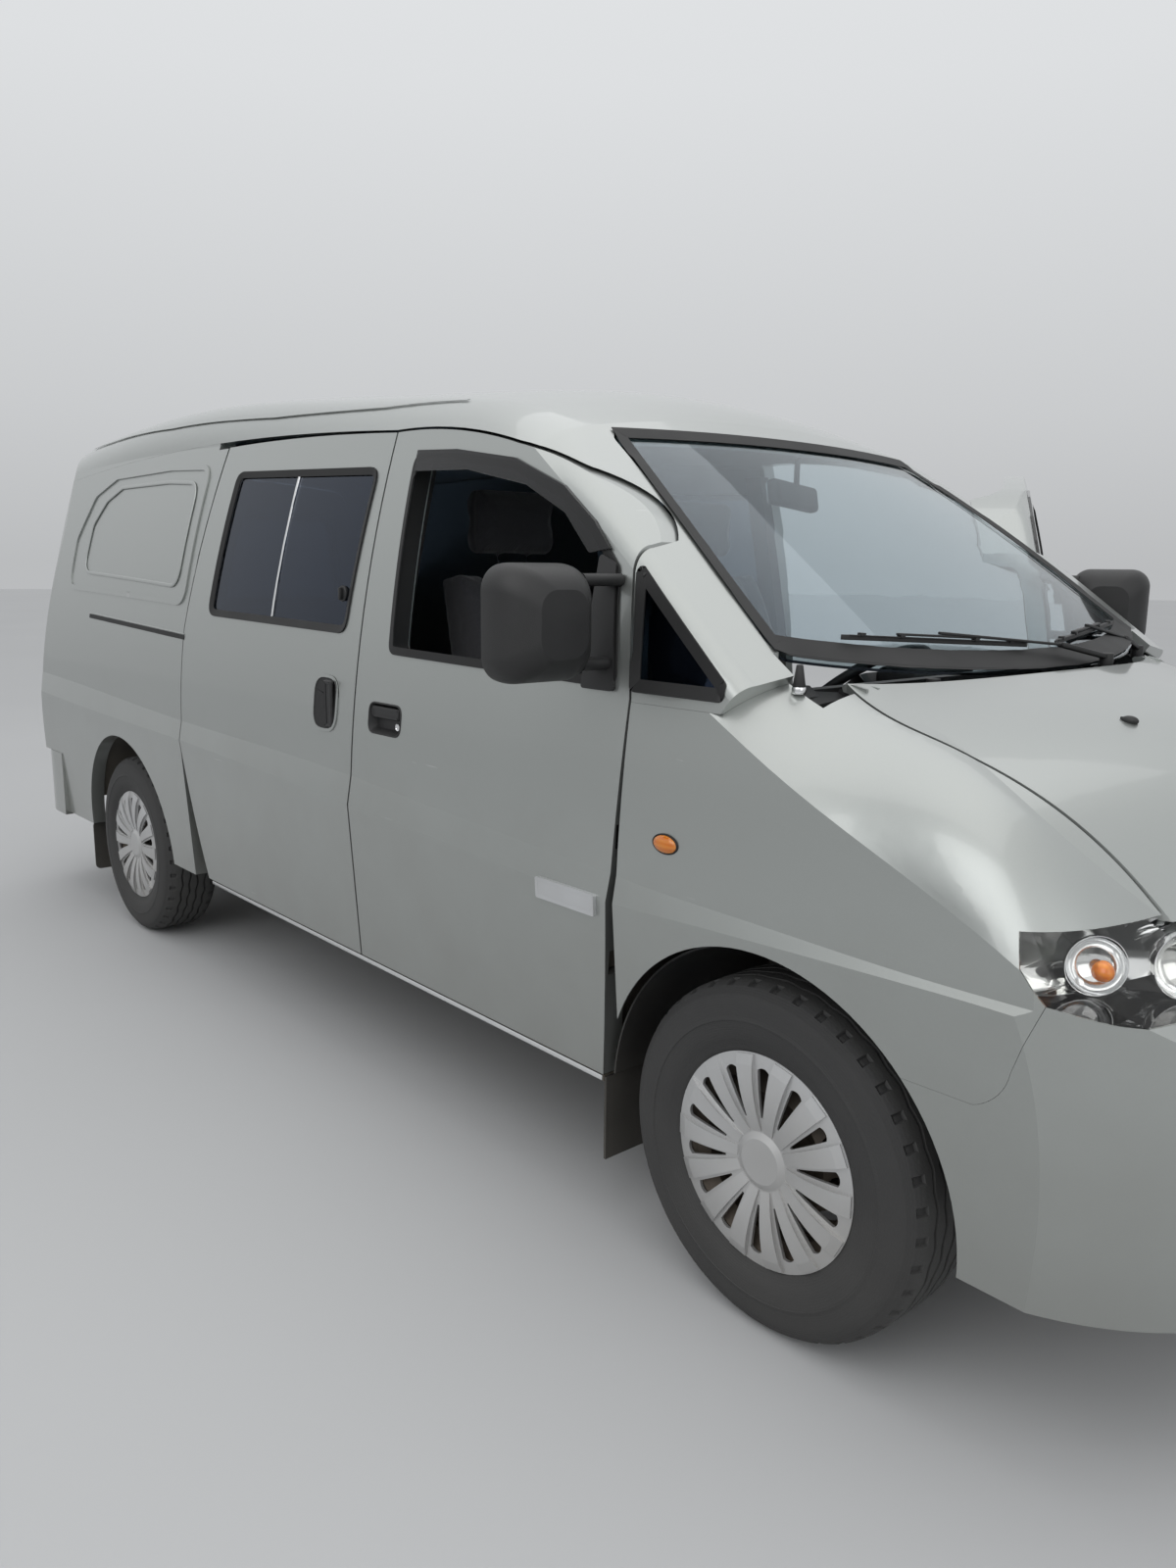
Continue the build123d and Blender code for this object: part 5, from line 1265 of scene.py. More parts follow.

# %% [markdown]
# The tailgate has a rubber round its glass, a wiper and a sunk grip over a blank number plate. The
# plate stays white and empty.

# %% Tailgate pieces
def on_gate(y, z):
    """Where an outline point lands on the tailgate."""
    found = hit((-3.2, y, z), (1, 0, 0), ["tailgate", "tailgate_glass"], 1)
    return (found if found is not None else Vector((-2.6, y, z))), Vector((-1, 0, 0))


def oblong(half, low, high):
    """Corners of an upright oblong on the centre line, from its half width and two heights."""
    return (-half, low), (half, low), (half, high), (-half, high)


gate_window = [(-0.604, 1.186), (0.604, 1.186), (0.552, 1.604), (-0.552, 1.604)]
grip_recess = ((-0.36, 0.845), (0.36, 0.845), (0.33, 0.905), (-0.33, 0.905))
plate_half = 0.26
rear_wiper_y = -0.28
rear_wiper_z = 1.30
seal = band(rounded([Vector(p) for p in gate_window], 0.05), 0.024, on_gate, 0.0008, 0.003)
settle(seal, "tailgate_window_rubber", rubber, "tailgate")
plate_white = Finish("blank_plate_white", Coat_Weight=0.3)
fleck = plate_white.group("grain", Scale=90.0)
plate_white.colour(plate_white.mix(fleck.outputs["Tone"], (0.66, 0.66, 0.64), (0.76, 0.76, 0.74)))
plate_white.spread(fleck.outputs["Tone"], 0.3, 0.45, "Roughness")
patch(
    oblong(plate_half, 0.700, 0.812), 0.008, on_gate, 0.002, 0.002, "number_plate_rear_blank", plate_white,
    "tailgate", 2,
)
patch(grip_recess, 0.012, on_gate, 0.0005, 0.004, "tailgate_grip", plastic, "tailgate", 2)
patch(
    oblong(0.30, 1.668, 1.690), 0.006, on_gate, 0.001, 0.006, "high_brake_lens", red_lens, "tailgate",
    2,
)
fresh()
spot, _ = on_gate(0.0, 1.200)
bpy.ops.mesh.primitive_cylinder_add(
    vertices=28, radius=0.022, depth=0.016, location=spot + Vector((-0.009, 0, -0.02)),
    rotation=(0, math.pi / 2, 0),
)
boss = bpy.context.object
modifier(boss, "BEVEL", width=0.003, segments=2, limit_method="ANGLE")
arm_end, _ = on_gate(rear_wiper_y, rear_wiper_z)
arm = block((-0.006, 0, -0.006), (0.006, 0.32, 0.006), 0.003, 2)
arm_foot = spot + Vector((-0.016, 0, -0.015))
reach = Vector((arm_end.x - 0.012, rear_wiper_y, rear_wiper_z)) - arm_foot
arm.matrix_world = Matrix.Translation(arm_foot) @ reach.to_track_quat("Y", "Z").to_matrix().to_4x4()
blade = block((-0.003, -0.20, -0.006), (0.004, 0.20, 0.006), 0.002, 2)
blade_spot = Vector((arm_end.x - 0.008, rear_wiper_y, rear_wiper_z))
blade.matrix_world = Matrix.Translation(blade_spot) @ Matrix.Rotation(0.10, 4, "X")
settle(join([boss, arm, blade]), "rear_wiper", plastic, "tailgate")
print("tailgate pieces")

# %% [markdown]
# The nose carries a blank plate too, under the grille. Its face lies level with the bumper's skin, because
# the bumper's middle is already the foremost point of the van.

# %% Front plate
def on_nose(y, z):
    """Where an outline point lands on the nose."""
    found = front_point(y, z)
    return (found if found is not None else Vector((2.37, y, z))), Vector((1, 0, 0))


plate_thickness = 0.0015
patch(
    oblong(plate_half, 0.600, 0.712), 0.008, on_nose, -plate_thickness, plate_thickness,
    "number_plate_front_blank", plate_white, "body", 2,
)
print("front plate")

# %% [markdown]
# ## Headlamps
#
# Seen through the clear lens each headlamp has three bright bowls in a row, two with clear bulbs and the
# outermost with an amber one, in front of a bright backing plate. The CAD lamp is a hollow lens, so the
# insides stand free behind it. A bowl is half a sphere with its open side forward, given some thickness.

# %% Reflectors, bulbs and backing plates
def bowl(centre, radius, depth, facing):
    """A bright bowl that opens towards a direction."""
    fresh()
    bpy.ops.mesh.primitive_uv_sphere_add(segments=40, ring_count=20, radius=1)
    made = bpy.context.object
    edit()
    bpy.ops.mesh.bisect(plane_co=(0, 0, 0), plane_no=(0, 0, 1), clear_outer=True)
    leave()
    modifier(made, "SOLIDIFY", thickness=0.03, offset=1)
    made.scale = (radius, radius, depth)
    made.rotation_euler = Vector(facing).to_track_quat("Z", "Y").to_euler()
    made.location = centre
    return made


def bulb(centre, radius, length, facing):
    """A capped bulb pointing forward."""
    fresh()
    bpy.ops.mesh.primitive_uv_sphere_add(segments=24, ring_count=14, radius=1)
    made = bpy.context.object
    for vertex in made.data.vertices:
        if vertex.co.z < 0:
            vertex.co.x *= 0.75
            vertex.co.y *= 0.75
    made.scale = (radius, radius, length)
    made.rotation_euler = Vector(facing).to_track_quat("Z", "Y").to_euler()
    made.location = centre
    return made


def behind_lamp(y, z):
    """A place on the backing plate inside the lamp, a hand's width behind the lens."""
    found = front_point(y, z, ["headlamps"])
    return (found if found is not None else Vector((2.2, y, z))) - Vector((0.105, 0, 0)), Vector((1, 0, 0))


for side, word in ((-1, "right"), (1, "left")):
    out = side * 0.36
    main = bowl((2.196, side * 0.56, 0.822), 0.052, 0.050, (1, out, 0.05))
    dip = bowl((2.150, side * 0.69, 0.824), 0.050, 0.048, (1, side * 0.6, 0.05))
    turn = bowl((2.072, side * 0.80, 0.827), 0.044, 0.040, (1, side * 0.95, 0.05))
    settle(join([main, dip, turn]), "lamp_reflectors_" + word, bright, "body", 50)
    glass = [
        bulb((2.214, side * 0.566, 0.823), 0.014, 0.020, (1, out, 0)),
        bulb((2.170, side * 0.702, 0.825), 0.014, 0.020, (1, side * 0.6, 0)),
    ]
    settle(join(glass), "lamp_bulbs_" + word, white_lens, "body")
    amber = bulb((2.087, side * 0.814, 0.828), 0.016, 0.021, (1, side * 0.95, 0))
    settle(amber, "indicator_bulb_" + word, amber_lens, "body")
    patch(
        ((side * 0.435, 0.776), (side * 0.875, 0.786), (side * 0.865, 0.868), (side * 0.435, 0.862)), 0.01,
        behind_lamp, 0, 0.002, "lamp_bezel_" + word, bright, "body", 4,
    )
print("headlamp insides")

# %% [markdown]
# ## Rail slot, pressings and sill
#
# Behind the sliding door its roller rail shows as a long dark slot, and above it the panel is stiffened by a
# double contour pressed into the steel. The slot is a thin dark patch with a folded lip. The contours are
# low rounded beads in body colour, one inside the other.

# %% Slot and pressed beads
def lane(points, name, finish, body, side, radius, lift):
    """A rounded bead along points on one side of the van, pressed half into the skin."""
    fresh()
    bpy.ops.curve.primitive_bezier_curve_add()
    line = bpy.context.object
    spline = line.data.splines[0]
    spline.bezier_points.add(len(points) - 2)
    for knot, flat in zip(spline.bezier_points, points):
        spot = side_point(flat[0], flat[1], side)
        knot.co = spot + Vector((0, side * lift, 0)) - line.location
        knot.handle_left_type = knot.handle_right_type = "AUTO"
    line.data.bevel_depth = radius
    line.data.bevel_resolution = 3
    line.data.resolution_u = 8
    line.data.use_fill_caps = True
    return settle(line, name, finish, body, 60)


pressing = [
    (-2.165, 1.268), (-2.150, 1.470), (-2.020, 1.640), (-1.820, 1.700), (-1.300, 1.705), (-0.955, 1.690),
    (-0.985, 1.235), (-1.500, 1.250),
]
inner_pressing = [
    (-2.010, 1.330), (-1.985, 1.520), (-1.880, 1.610), (-1.740, 1.655), (-1.300, 1.655), (-1.030, 1.640),
    (-1.055, 1.290), (-1.500, 1.310),
]
for side, word in ((-1, "right"), (1, "left")):
    for label, corners_here, wide in (("outer", pressing, 0.018), ("inner", inner_pressing, 0.013)):
        bead = band(rounded([Vector(p) for p in corners_here], 0.07, 8), wide, on_side(side), -0.0006, 0.0052)
        modifier(bead, "BEVEL", width=0.0035, segments=3, limit_method="ANGLE")
        settle(bead, "pressing_" + label + "_" + word, paint, "body", 60)
slot_corners = ((-1.881, 1.163), (-0.961, 1.128), (-0.961, 1.143), (-1.881, 1.178))
patch(slot_corners, 0.004, on_side(-1), 0.0004, 0.0012, "rail_slot_shadow", rubber, "body", 3)
lane(
    [(-1.884, 1.181), (-1.42, 1.1635), (-0.958, 1.146)], "rail_slot_lip", paint, "body", -1,
    0.0022, -0.0004,
)
for side, word in ((-1, "right"), (1, "left")):
    sill = block((-0.818, side * 0.8735 - 0.0012, 0.333), (1.114, side * 0.8735 + 0.0012, 0.3445), 0.0008, 2)
    settle(sill, "sill_strip_" + word, bright, "body")
print("slot, beads and sills")

# %% [markdown]
# ## Inside the doors and cab
#
# The left door stands open, so its inner face is in plain view: a black frame round the window and a grained
# card below with an armrest and a winder. They are laid on the inner face by rays from the cab.

# %% Door cards
def inside_door(x, z):
    """Where an outline point lands on the inner face of the right front door."""
    found = hit((x, -0.30, z), (0, -1, 0), ["front_door_right"], 0.7)
    return (found if found is not None else Vector((x, -0.82, z))), Vector((0, 1, 0))


window = rounded(
    [
        Vector(p)
        for p in (
            (0.306, 1.165), (0.276, 1.640), (0.456, 1.630), (0.690, 1.596), (0.880, 1.528), (1.000, 1.452),
            (1.088, 1.372), (1.128, 1.150),
        )
    ],
    0.026,
)
frame_piece = band(inset(fine(window, 0.02), -0.036), 0.0355, inside_door, 0.0006, 0.002)
door_pair(frame_piece, "door_frame_trim", trim)

ring = inset(fine(window, 0.02), 0.0006)
fresh()
bpy.ops.mesh.primitive_circle_add(vertices=len(ring), radius=1)
reveal = bpy.context.object
edit()
bpy.ops.mesh.extrude_edges_move(TRANSFORM_OT_translate={"value": (0, 0, 1)})
leave()
for index, vertex in enumerate(reveal.data.vertices):
    flat = ring[index % len(ring)]
    skin = side_point(flat.x, flat.y, -1).y
    vertex.co = (flat.x, skin + (0.004 if index < len(ring) else 0.049), flat.y)
edit()
bpy.ops.mesh.normals_make_consistent(inside=False)
leave()
modifier(reveal, "SOLIDIFY", thickness=0.0015, offset=0)
door_pair(reveal, "window_channel", rubber)


def card_part(corners_here, radius, lift, thick, name, finish):
    """A patch on the inner face of the right door, with its twin on the open left door."""
    made = patch(corners_here, radius, inside_door, lift, thick, name, finish, "front_door_right", 3)
    fresh()
    made.select_set(True)
    bpy.context.view_layer.objects.active = made
    bpy.ops.object.duplicate()
    twin = bpy.context.object
    twin.matrix_world = swing @ Matrix.Scale(-1, 4, (0, 1, 0))
    settle(twin, name.replace("_right", "_left"), finish, "front_door_left")
    return made


card_part(
    ((0.185, 0.430), (1.050, 0.430), (1.105, 0.760), (1.140, 1.110), (0.185, 1.128)), 0.05, 0.0006, 0.004,
    "door_card_right", trim,
)
card_part(
    ((0.300, 0.800), (0.860, 0.820), (0.860, 0.990), (0.300, 0.970)), 0.04, 0.005, 0.004,
    "door_card_cloth_right", seat_cloth,
)
card_part(
    ((0.300, 0.545), (0.980, 0.545), (0.980, 0.690), (0.300, 0.670)), 0.03, 0.005, 0.007, "door_pocket_right",
    trim,
)
spot, _ = inside_door(0.60, 0.78)
rest = block((0.34, spot.y + 0.004, 0.735), (0.80, spot.y + 0.052, 0.785), 0.014, 4)
edit("DESELECT")
pick(rest, lambda c, n: n.z > 0.9)
bpy.ops.mesh.inset(thickness=0.010, depth=-0.004)
leave()
door_pair(rest, "door_armrest", trim)
winder = block((0.845, spot.y + 0.004, 0.700), (0.865, spot.y + 0.016, 0.800), 0.005, 3)
knob = block((0.840, spot.y + 0.014, 0.695), (0.870, spot.y + 0.044, 0.722), 0.009, 4)
door_pair(join([winder, knob]), "window_winder", plastic)
print("door cards")

# %% [markdown]
# Through the windscreen show the interior mirror, the binnacle over the instruments, air vents and a gear
# lever. Most start as a soft-edged block and are inset where the real one has an edge.

# %% Small cab parts
glass_spot = top_point(0.86, 0.0, ["windscreen"])
stalk = block((-0.006, -0.006, -0.075), (0.006, 0.006, 0.0), 0.003, 2)
stalk.matrix_world = Matrix.Translation((glass_spot.x - 0.012, 0, glass_spot.z - 0.012))
mirror_tilt = Matrix.Rotation(-0.18, 4, "Y") @ Matrix.Rotation(0.25, 4, "Z")
housing = block((-0.016, -0.125, -0.032), (0.016, 0.125, 0.032), 0.013, 5)
housing.matrix_world = Matrix.Translation((glass_spot.x - 0.020, 0, glass_spot.z - 0.105)) @ mirror_tilt
settle(join([stalk, housing]), "cabin_mirror_housing", trim, "body")
face_plate = block((-0.0015, -0.115, -0.025), (0.0015, 0.115, 0.025), 0.001, 2)
face_plate.matrix_world = Matrix.Translation(
    (glass_spot.x - 0.0375, -0.004, glass_spot.z - 0.108)
) @ mirror_tilt
settle(face_plate, "cabin_mirror_glass", bright, "body")

for y, word in ((-0.62, "outer_right"), (-0.07, "centre_right"), (0.07, "centre_left"), (0.66, "outer_left")):
    spot = hit((0.6, y, 1.03), (1, 0, 0), ["dashboard"], 1)
    if spot is None:
        continue
    vent = block((spot.x - 0.006, y - 0.050, 0.998), (spot.x + 0.004, y + 0.050, 1.052), 0.006, 3)
    edit("DESELECT")
    pick(vent, lambda c, n: n.x < -0.9)
    bpy.ops.mesh.inset(thickness=0.007, depth=-0.004)
    leave()
    slats = [vent] + [
        block((spot.x - 0.007, y - 0.042, z), (spot.x - 0.001, y + 0.042, z + 0.003), 0.001, 1)
        for z in (1.010, 1.020, 1.030, 1.040)
    ]
    settle(join(slats), "air_vent_" + word, plastic, "body")
spot = top_point(1.02, 0.37, ["dashboard"])
hood = block((0.945, 0.235, spot.z - 0.004), (1.090, 0.505, spot.z + 0.052), 0.022, 5)
edit("DESELECT")
pick(hood, lambda c, n: n.x < -0.9)
bpy.ops.mesh.inset(thickness=0.010, depth=-0.020)
leave()
settle(hood, "instrument_hood", trim, "body")
fresh()
bpy.ops.mesh.primitive_cylinder_add(
    vertices=20, radius=0.008, depth=0.24, location=(0.80, 0.03, 0.655), rotation=(0, -0.18, 0),
)
lever = bpy.context.object
fresh()
bpy.ops.mesh.primitive_uv_sphere_add(segments=24, ring_count=16, radius=0.024, location=(0.778, 0.03, 0.783))
knob = bpy.context.object
knob.scale = (1, 1, 1.25)
fresh()
bpy.ops.mesh.primitive_cone_add(
    vertices=24, radius1=0.062, radius2=0.016, depth=0.075, location=(0.817, 0.03, 0.545),
    rotation=(0, -0.18, 0),
)
boot = bpy.context.object
settle(join([lever, knob, boot]), "gear_lever", grip, "body")
print("cab parts")

# %% [markdown]
# ## Seats and mattress
#
# Foam under cloth bulges between its edges and pulls in at its seams. Each pad starts from a copy of its CAD
# block, shrunk a little and remeshed into even squares. Blender's cloth solver then blows it up with gentle
# pressure and no gravity, the movement is capped so that it stays in its space, and sewn lines are pressed
# in afterwards. The right seat is made first and its pads are mirrored for the left.

# %% Inflate a pad
def inflate(pad, frames=20, cap=0.014, pressure=4.0):
    """Blow a closed mesh up as cloth, with no vertex moving further than the cap."""
    before = [vertex.co.copy() for vertex in pad.data.vertices]
    cloth = pad.modifiers.new("cloth", "CLOTH")
    cloth.settings.use_pressure = True
    cloth.settings.uniform_pressure_force = pressure
    cloth.settings.effector_weights.gravity = 0
    cloth.settings.quality = 4
    cloth.collision_settings.use_collision = False
    cloth.point_cache.frame_start = 1
    cloth.point_cache.frame_end = frames
    for frame_number in range(1, frames + 1):
        bpy.context.scene.frame_set(frame_number)
    blown = pad.evaluated_get(bpy.context.evaluated_depsgraph_get()).data
    after = [vertex.co.copy() for vertex in blown.vertices]
    pad.modifiers.remove(cloth)
    bpy.context.scene.frame_set(1)
    for vertex, old, new in zip(pad.data.vertices, before, after):
        move = new - old
        vertex.co = old + move * min(1.0, cap / max(move.length, 1e-9))
    print("inflated", pad.name, "most", round(max((a - b).length for a, b in zip(after, before)), 4))


def press(pad, rule, deep, wide):
    """Press a sewn line into a pad: rule gives each vertex its distance from the line."""
    normals = [vertex.normal.copy() for vertex in pad.data.vertices]
    for vertex, normal in zip(pad.data.vertices, normals):
        vertex.co -= normal * deep * math.exp(-((rule(vertex.co) / wide) ** 2))


def pad_from(node, side, name, voxel, shrink, cap):
    """A remeshed, inflated copy of one side of a CAD pad."""
    fresh()
    cad[node].select_set(True)
    bpy.context.view_layer.objects.active = cad[node]
    bpy.ops.object.duplicate()
    pad = bpy.context.object
    pad.name = name
    pad.parent = None
    edit("SELECT")
    bpy.ops.mesh.remove_doubles(threshold=0.0001)
    if side:
        bpy.ops.mesh.select_all(action="DESELECT")
        leave()
        for vertex in pad.data.vertices:
            vertex.select = vertex.co.y * side < 0
        bpy.ops.object.mode_set(mode="EDIT")
        bpy.ops.mesh.delete(type="VERT")
    leave()
    middle = sum((vertex.co for vertex in pad.data.vertices), Vector()) / len(pad.data.vertices)
    for vertex in pad.data.vertices:
        vertex.co = middle + (vertex.co - middle) * shrink
    modifier(pad, "REMESH", mode="VOXEL", voxel_size=voxel)
    inflate(pad, cap=cap)
    return pad


def finish_pad(pad, name, finish, node):
    """Subdivide and settle a pad, and hide its CAD node."""
    modifier(pad, "SUBSURF", levels=1, render_levels=1)
    settle(pad, name, finish, "body", 60)
    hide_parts(node)


print("pad helpers ready")

# %% [markdown]
# The cushion has two firm bolsters with a sewn middle of five cross channels. The back repeats them, and the
# head restraint is one plain puffed block with a seam round it.

# %% Front seats
shapes = (
    ("seat_cushions", "seat_cushion", 0.010, 0.975, 0.012),
    ("seat_backs", "seat_back", 0.010, 0.975, 0.012),
    ("headrests", "headrest", 0.008, 0.96, 0.008),
)
for node, label, voxel, shrink, cap in shapes:
    pad = pad_from(node, -1, label, voxel, shrink, cap)
    low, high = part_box(node)
    middle_y = -0.37
    if label != "headrest":
        for line_y in (middle_y - 0.135, middle_y + 0.135):
            press(pad, lambda p, y=line_y: abs(p.y - y), 0.008, 0.010)
        for step in range(5):
            if label == "seat_cushion":
                press(
                    pad, lambda p,
                    x=0.33 + 0.08 * step: abs(p.x - x) if abs(p.y - middle_y) < 0.135 and p.z > 0.80 else 1,
                    0.005, 0.008,
                )
            else:
                press(
                    pad, lambda p,
                    z=0.90 + 0.09 * step: abs(p.z - z) if abs(p.y - middle_y) < 0.135 and p.x > 0.15 else 1,
                    0.005, 0.008,
                )
    else:
        press(pad, lambda p: abs(p.x - 0.148), 0.003, 0.006)
    fresh()
    pad.select_set(True)
    bpy.context.view_layer.objects.active = pad
    bpy.ops.object.duplicate()
    twin = bpy.context.object
    twin.matrix_world = Matrix.Scale(-1, 4, (0, 1, 0))
    finish_pad(pad, label + "_right", seat_cloth, node)
    finish_pad(twin, label + "_left", seat_cloth, node)
print("six seat pads")

# %% [markdown]
# The mattress is one long pad, soft at its rim, with a grid of shallow quilting.

# %% Mattress
pad = pad_from("mattress", 0, "mattress_pad", 0.020, 0.985, 0.012)
for x in (-2.16, -1.81, -1.46, -1.11):
    press(pad, lambda p, x=x: abs(p.x - x) if p.z > 0.86 else 1, 0.008, 0.022)
for y in (-0.34, 0.0, 0.34):
    press(pad, lambda p, y=y: abs(p.y - y) if p.z > 0.86 else 1, 0.008, 0.022)
finish_pad(pad, "mattress_pad", bed_cloth, "mattress")
print("mattress")

# %% [markdown]
# ## Smaller details
#
# Two narrow ditch mouldings run along the roof from the screen's corners to the tail. They follow the roof by
# rays from above, like everything that lies on the skin.

# %% Roof mouldings, bumper mesh, fuel flap
def on_roof(x, y):
    """Where an outline point lands on the roof, looking straight down."""
    return top_point(x, y, ["roof_panel"]), Vector((0, 0, 1))


for side, word in ((-1, "right"), (1, "left")):
    knots = [
        Vector((x, side * y))
        for x, y in ((0.32, 0.632), (0.0, 0.668), (-0.6, 0.688), (-1.4, 0.688), (-2.1, 0.668), (-2.30, 0.655))
    ]
    route = [a.lerp(b, step / 8) for a, b in zip(knots, knots[1:]) for step in range(8)] + [knots[-1]]
    fresh()
    bpy.ops.mesh.primitive_grid_add(x_subdivisions=len(route) - 1, y_subdivisions=1, size=1)
    moulding = bpy.context.object
    columns = sorted({round(vertex.co.x, 5) for vertex in moulding.data.vertices})
    for vertex in moulding.data.vertices:
        centre = route[columns.index(round(vertex.co.x, 5))]
        place = centre.y + (0.0055 if vertex.co.y > 0 else -0.0055)
        vertex.co = on_roof(centre.x, place)[0] + Vector((0, 0, 0.0004))
    turn_towards(moulding, Vector((0, 0, 1)))
    modifier(moulding, "SOLIDIFY", thickness=0.0016, offset=1)
    settle(moulding, "roof_moulding_" + word, paint, "body")

bars = [
    block((2.262, -0.315, 0.405 + 0.0205 * step), (2.268, 0.315, 0.409 + 0.0205 * step), 0.001, 1)
    for step in range(7)
]
bars += [
    block((2.258, -0.312 + 0.052 * step, 0.402), (2.263, -0.308 + 0.052 * step, 0.530), 0.001, 1)
    for step in range(13)
]
settle(join(bars), "bumper_mesh", plastic, "body")

flap_corners = ((-1.40, 0.880), (-1.24, 0.880), (-1.24, 1.040), (-1.40, 1.040))
patch(flap_corners, 0.022, on_side(1), 0.0004, 0.0026, "fuel_flap", paint, "body", 3)
flap_gap = band(rounded([Vector(p) for p in flap_corners], 0.022), 0.003, on_side(1), 0.0002, 0.001)
settle(flap_gap, "fuel_flap_gap", rubber, "body")
print("mouldings, mesh and flap")

# %% [markdown]
# The cabinet behind the driver gets doors with round pulls and a worktop with a rounded edge, which overhangs
# its front a little.

# %% Cabinet fronts
low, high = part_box("side_cabinet")
fronts = []
width = (high.x - low.x - 0.03) / 2
for step in range(2):
    left = low.x + 0.010 + step * (width + 0.010)
    door = block(
        (left, low.y - 0.0145, low.z + 0.06), (left + width, low.y - 0.0005, high.z - 0.045), 0.003, 2,
    )
    fronts.append(door)
settle(join(fronts), "cabinet_doors", ply, "body")
pulls = []
for step in range(2):
    fresh()
    spot = (
        low.x + 0.010 + width * (0.88 if step == 0 else 1.14) + 0.010 * step, low.y - 0.022, high.z - 0.115,
    )
    bpy.ops.mesh.primitive_cylinder_add(
        vertices=28, radius=0.016, depth=0.014, location=spot, rotation=(math.pi / 2, 0, 0),
    )
    pull = bpy.context.object
    modifier(pull, "BEVEL", width=0.004, segments=3, limit_method="ANGLE")
    pulls.append(pull)
settle(join(pulls), "cabinet_pulls", bright, "body")
top = block(
    (low.x - 0.006, low.y - 0.012, high.z + 0.0005), (high.x + 0.004, high.y - 0.005, high.z + 0.0165), 0.006,
    4,
)
settle(top, "cabinet_worktop", ply, "body")

print("cabinet with two doors")

# %% [markdown]
# Parked wipers are a chain of small parts: a boss, a long arm, a sprung bridge with claws, and a rubber lip.
# They replace the plain CAD bars, and keep the blades where those are. Black closing plates fill the corners
# between the screen, the cowl and the front wings.

# %% Wipers and cowl corners
def rod(start, end, wide, high, soft=0.0015):
    """A soft-edged bar from one point to another."""
    along = Vector(end) - Vector(start)
    made = block((-along.length / 2, -wide / 2, -high / 2), (along.length / 2, wide / 2, high / 2), soft, 2)
    made.matrix_world = Matrix.Translation(
        (Vector(start) + Vector(end)) / 2
    ) @ along.to_track_quat("X", "Z").to_matrix().to_4x4()
    return made


sets = []
for low, high, pivot in (
    (Vector((1.533, -0.060, 1.227)), Vector((1.426, -0.560, 1.254)), Vector((1.594, 0.180, 1.185))),
    (Vector((1.533, 0.060, 1.227)), Vector((1.426, 0.560, 1.254)), Vector((1.452, 0.655, 1.176))),
):
    middle = (low + high) / 2
    up = Vector((0, 0, 1))
    sets.append(rod(low - up * 0.004, high - up * 0.004, 0.003, 0.010, 0.0006))
    sets.append(rod(low.lerp(high, 0.04), high.lerp(low, 0.04), 0.009, 0.003, 0.001))
    sets.append(rod(low.lerp(high, 0.28) + up * 0.006, low.lerp(high, 0.72) + up * 0.006, 0.010, 0.005))
    for step in (0.10, 0.30, 0.70, 0.90):
        sets.append(
            rod(
                low.lerp(high, step - 0.012) + up * 0.002, low.lerp(high, step + 0.012) + up * 0.002, 0.013,
                0.008,
            )
        )
    knee = pivot.lerp(middle, 0.30) + up * 0.020
    sets.append(rod(pivot + up * 0.006, knee, 0.020, 0.011, 0.003))
    sets.append(rod(knee, middle + up * 0.012, 0.011, 0.006, 0.002))
    fresh()
    bpy.ops.mesh.primitive_cylinder_add(vertices=28, radius=0.015, depth=0.034, location=pivot - up * 0.002)
    boss = bpy.context.object
    modifier(boss, "BEVEL", width=0.003, segments=3, limit_method="ANGLE")
    sets.append(boss)
blades = join(sets)
settle(blades, "wiper_arms", plastic, "body")
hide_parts("wipers")
for side, word in ((-1, "right"), (1, "left")):
    cover_piece = block(
        (1.405, min(side * 0.622, side * 0.748), 1.116), (1.545, max(side * 0.622, side * 0.748), 1.120),
        0.001, 1,
    )
    settle(cover_piece, "cowl_corner_" + word, rubber, "body")
print("wipers and corners")

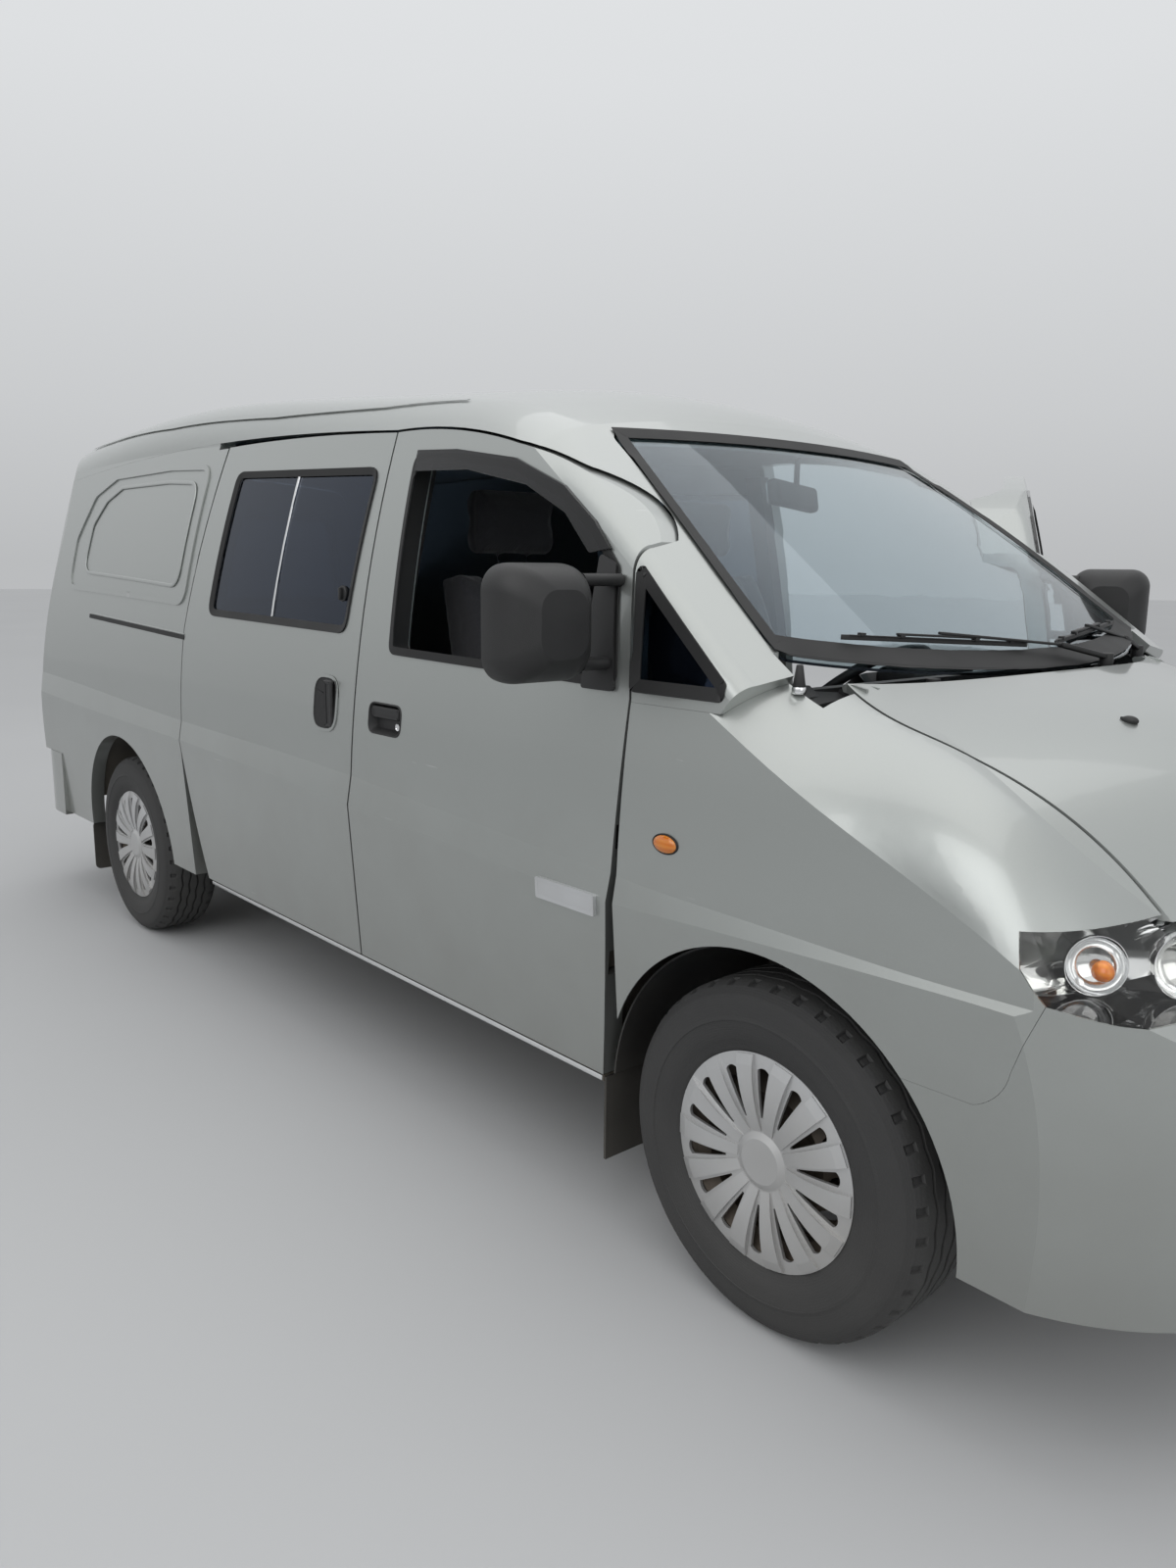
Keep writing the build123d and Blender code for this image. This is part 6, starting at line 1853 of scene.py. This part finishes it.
# %% [markdown]
# ## Closing strips
#
# The pillar behind the sliding door's slanted edge is painted steel, and the whole foot of the screen is
# black. The pillar strip takes its curve from the panel beside it. The foot is a grid whose lower row is
# walked down the glass until the rays miss it.

# %% Pillar strip and screen foot
def on_pillar(x, z):
    """A place in line with the side panel behind the sliding door."""
    return Vector((x, side_point(-0.955, z).y, z)), Vector((0, -1, 0))


panel_x = -0.9395
edge = (
    (-0.937, 1.332), (-0.928, 1.400), (-0.909, 1.500), (-0.891, 1.600), (-0.882, 1.650), (-0.873, 1.700),
    (-0.867, 1.735),
)
fresh()
bpy.ops.mesh.primitive_grid_add(x_subdivisions=3, y_subdivisions=len(edge) - 1, size=1)
strip = bpy.context.object
rows = sorted({round(vertex.co.y, 4) for vertex in strip.data.vertices})
for vertex in strip.data.vertices:
    x, z = edge[rows.index(round(vertex.co.y, 4))]
    vertex.co = on_pillar(panel_x + (x - panel_x) * (vertex.co.x + 0.5), z)[0] + Vector((0, 0.0006, 0))
turn_towards(strip, Vector((0, -1, 0)))
modifier(strip, "SOLIDIFY", thickness=0.010, offset=-1)
settle(strip, "pillar_strip_right", paint, "body")


def glass_foot(y):
    """The lowest place on the windscreen at y, walking back from the nose."""
    x = 1.64
    while trees["windscreen"].ray_cast(Vector((x, y, 3)), Vector((0, 0, -1)))[0] is None and x > 1.3:
        x -= 0.002
    return x - 0.001


columns = 56
foot_span = 1.404
foot_depth = 0.052
fresh()
bpy.ops.mesh.primitive_grid_add(x_subdivisions=3, y_subdivisions=columns, size=1)
foot = bpy.context.object
for vertex in foot.data.vertices:
    y = vertex.co.y * foot_span
    x = glass_foot(y) - foot_depth * (0.5 - vertex.co.x)
    vertex.co = on_top(x, y)[0] + Vector((0.0004, 0, 0.0007))
turn_towards(foot, Vector((0, 0, 1)))
modifier(foot, "SOLIDIFY", thickness=0.0012, offset=1)
settle(foot, "screen_foot", rubber, "body")
print("strip and foot")

# %% [markdown]
# The looks may not grow the object, apart from soft cloth.

# %% Finish
print("finished")
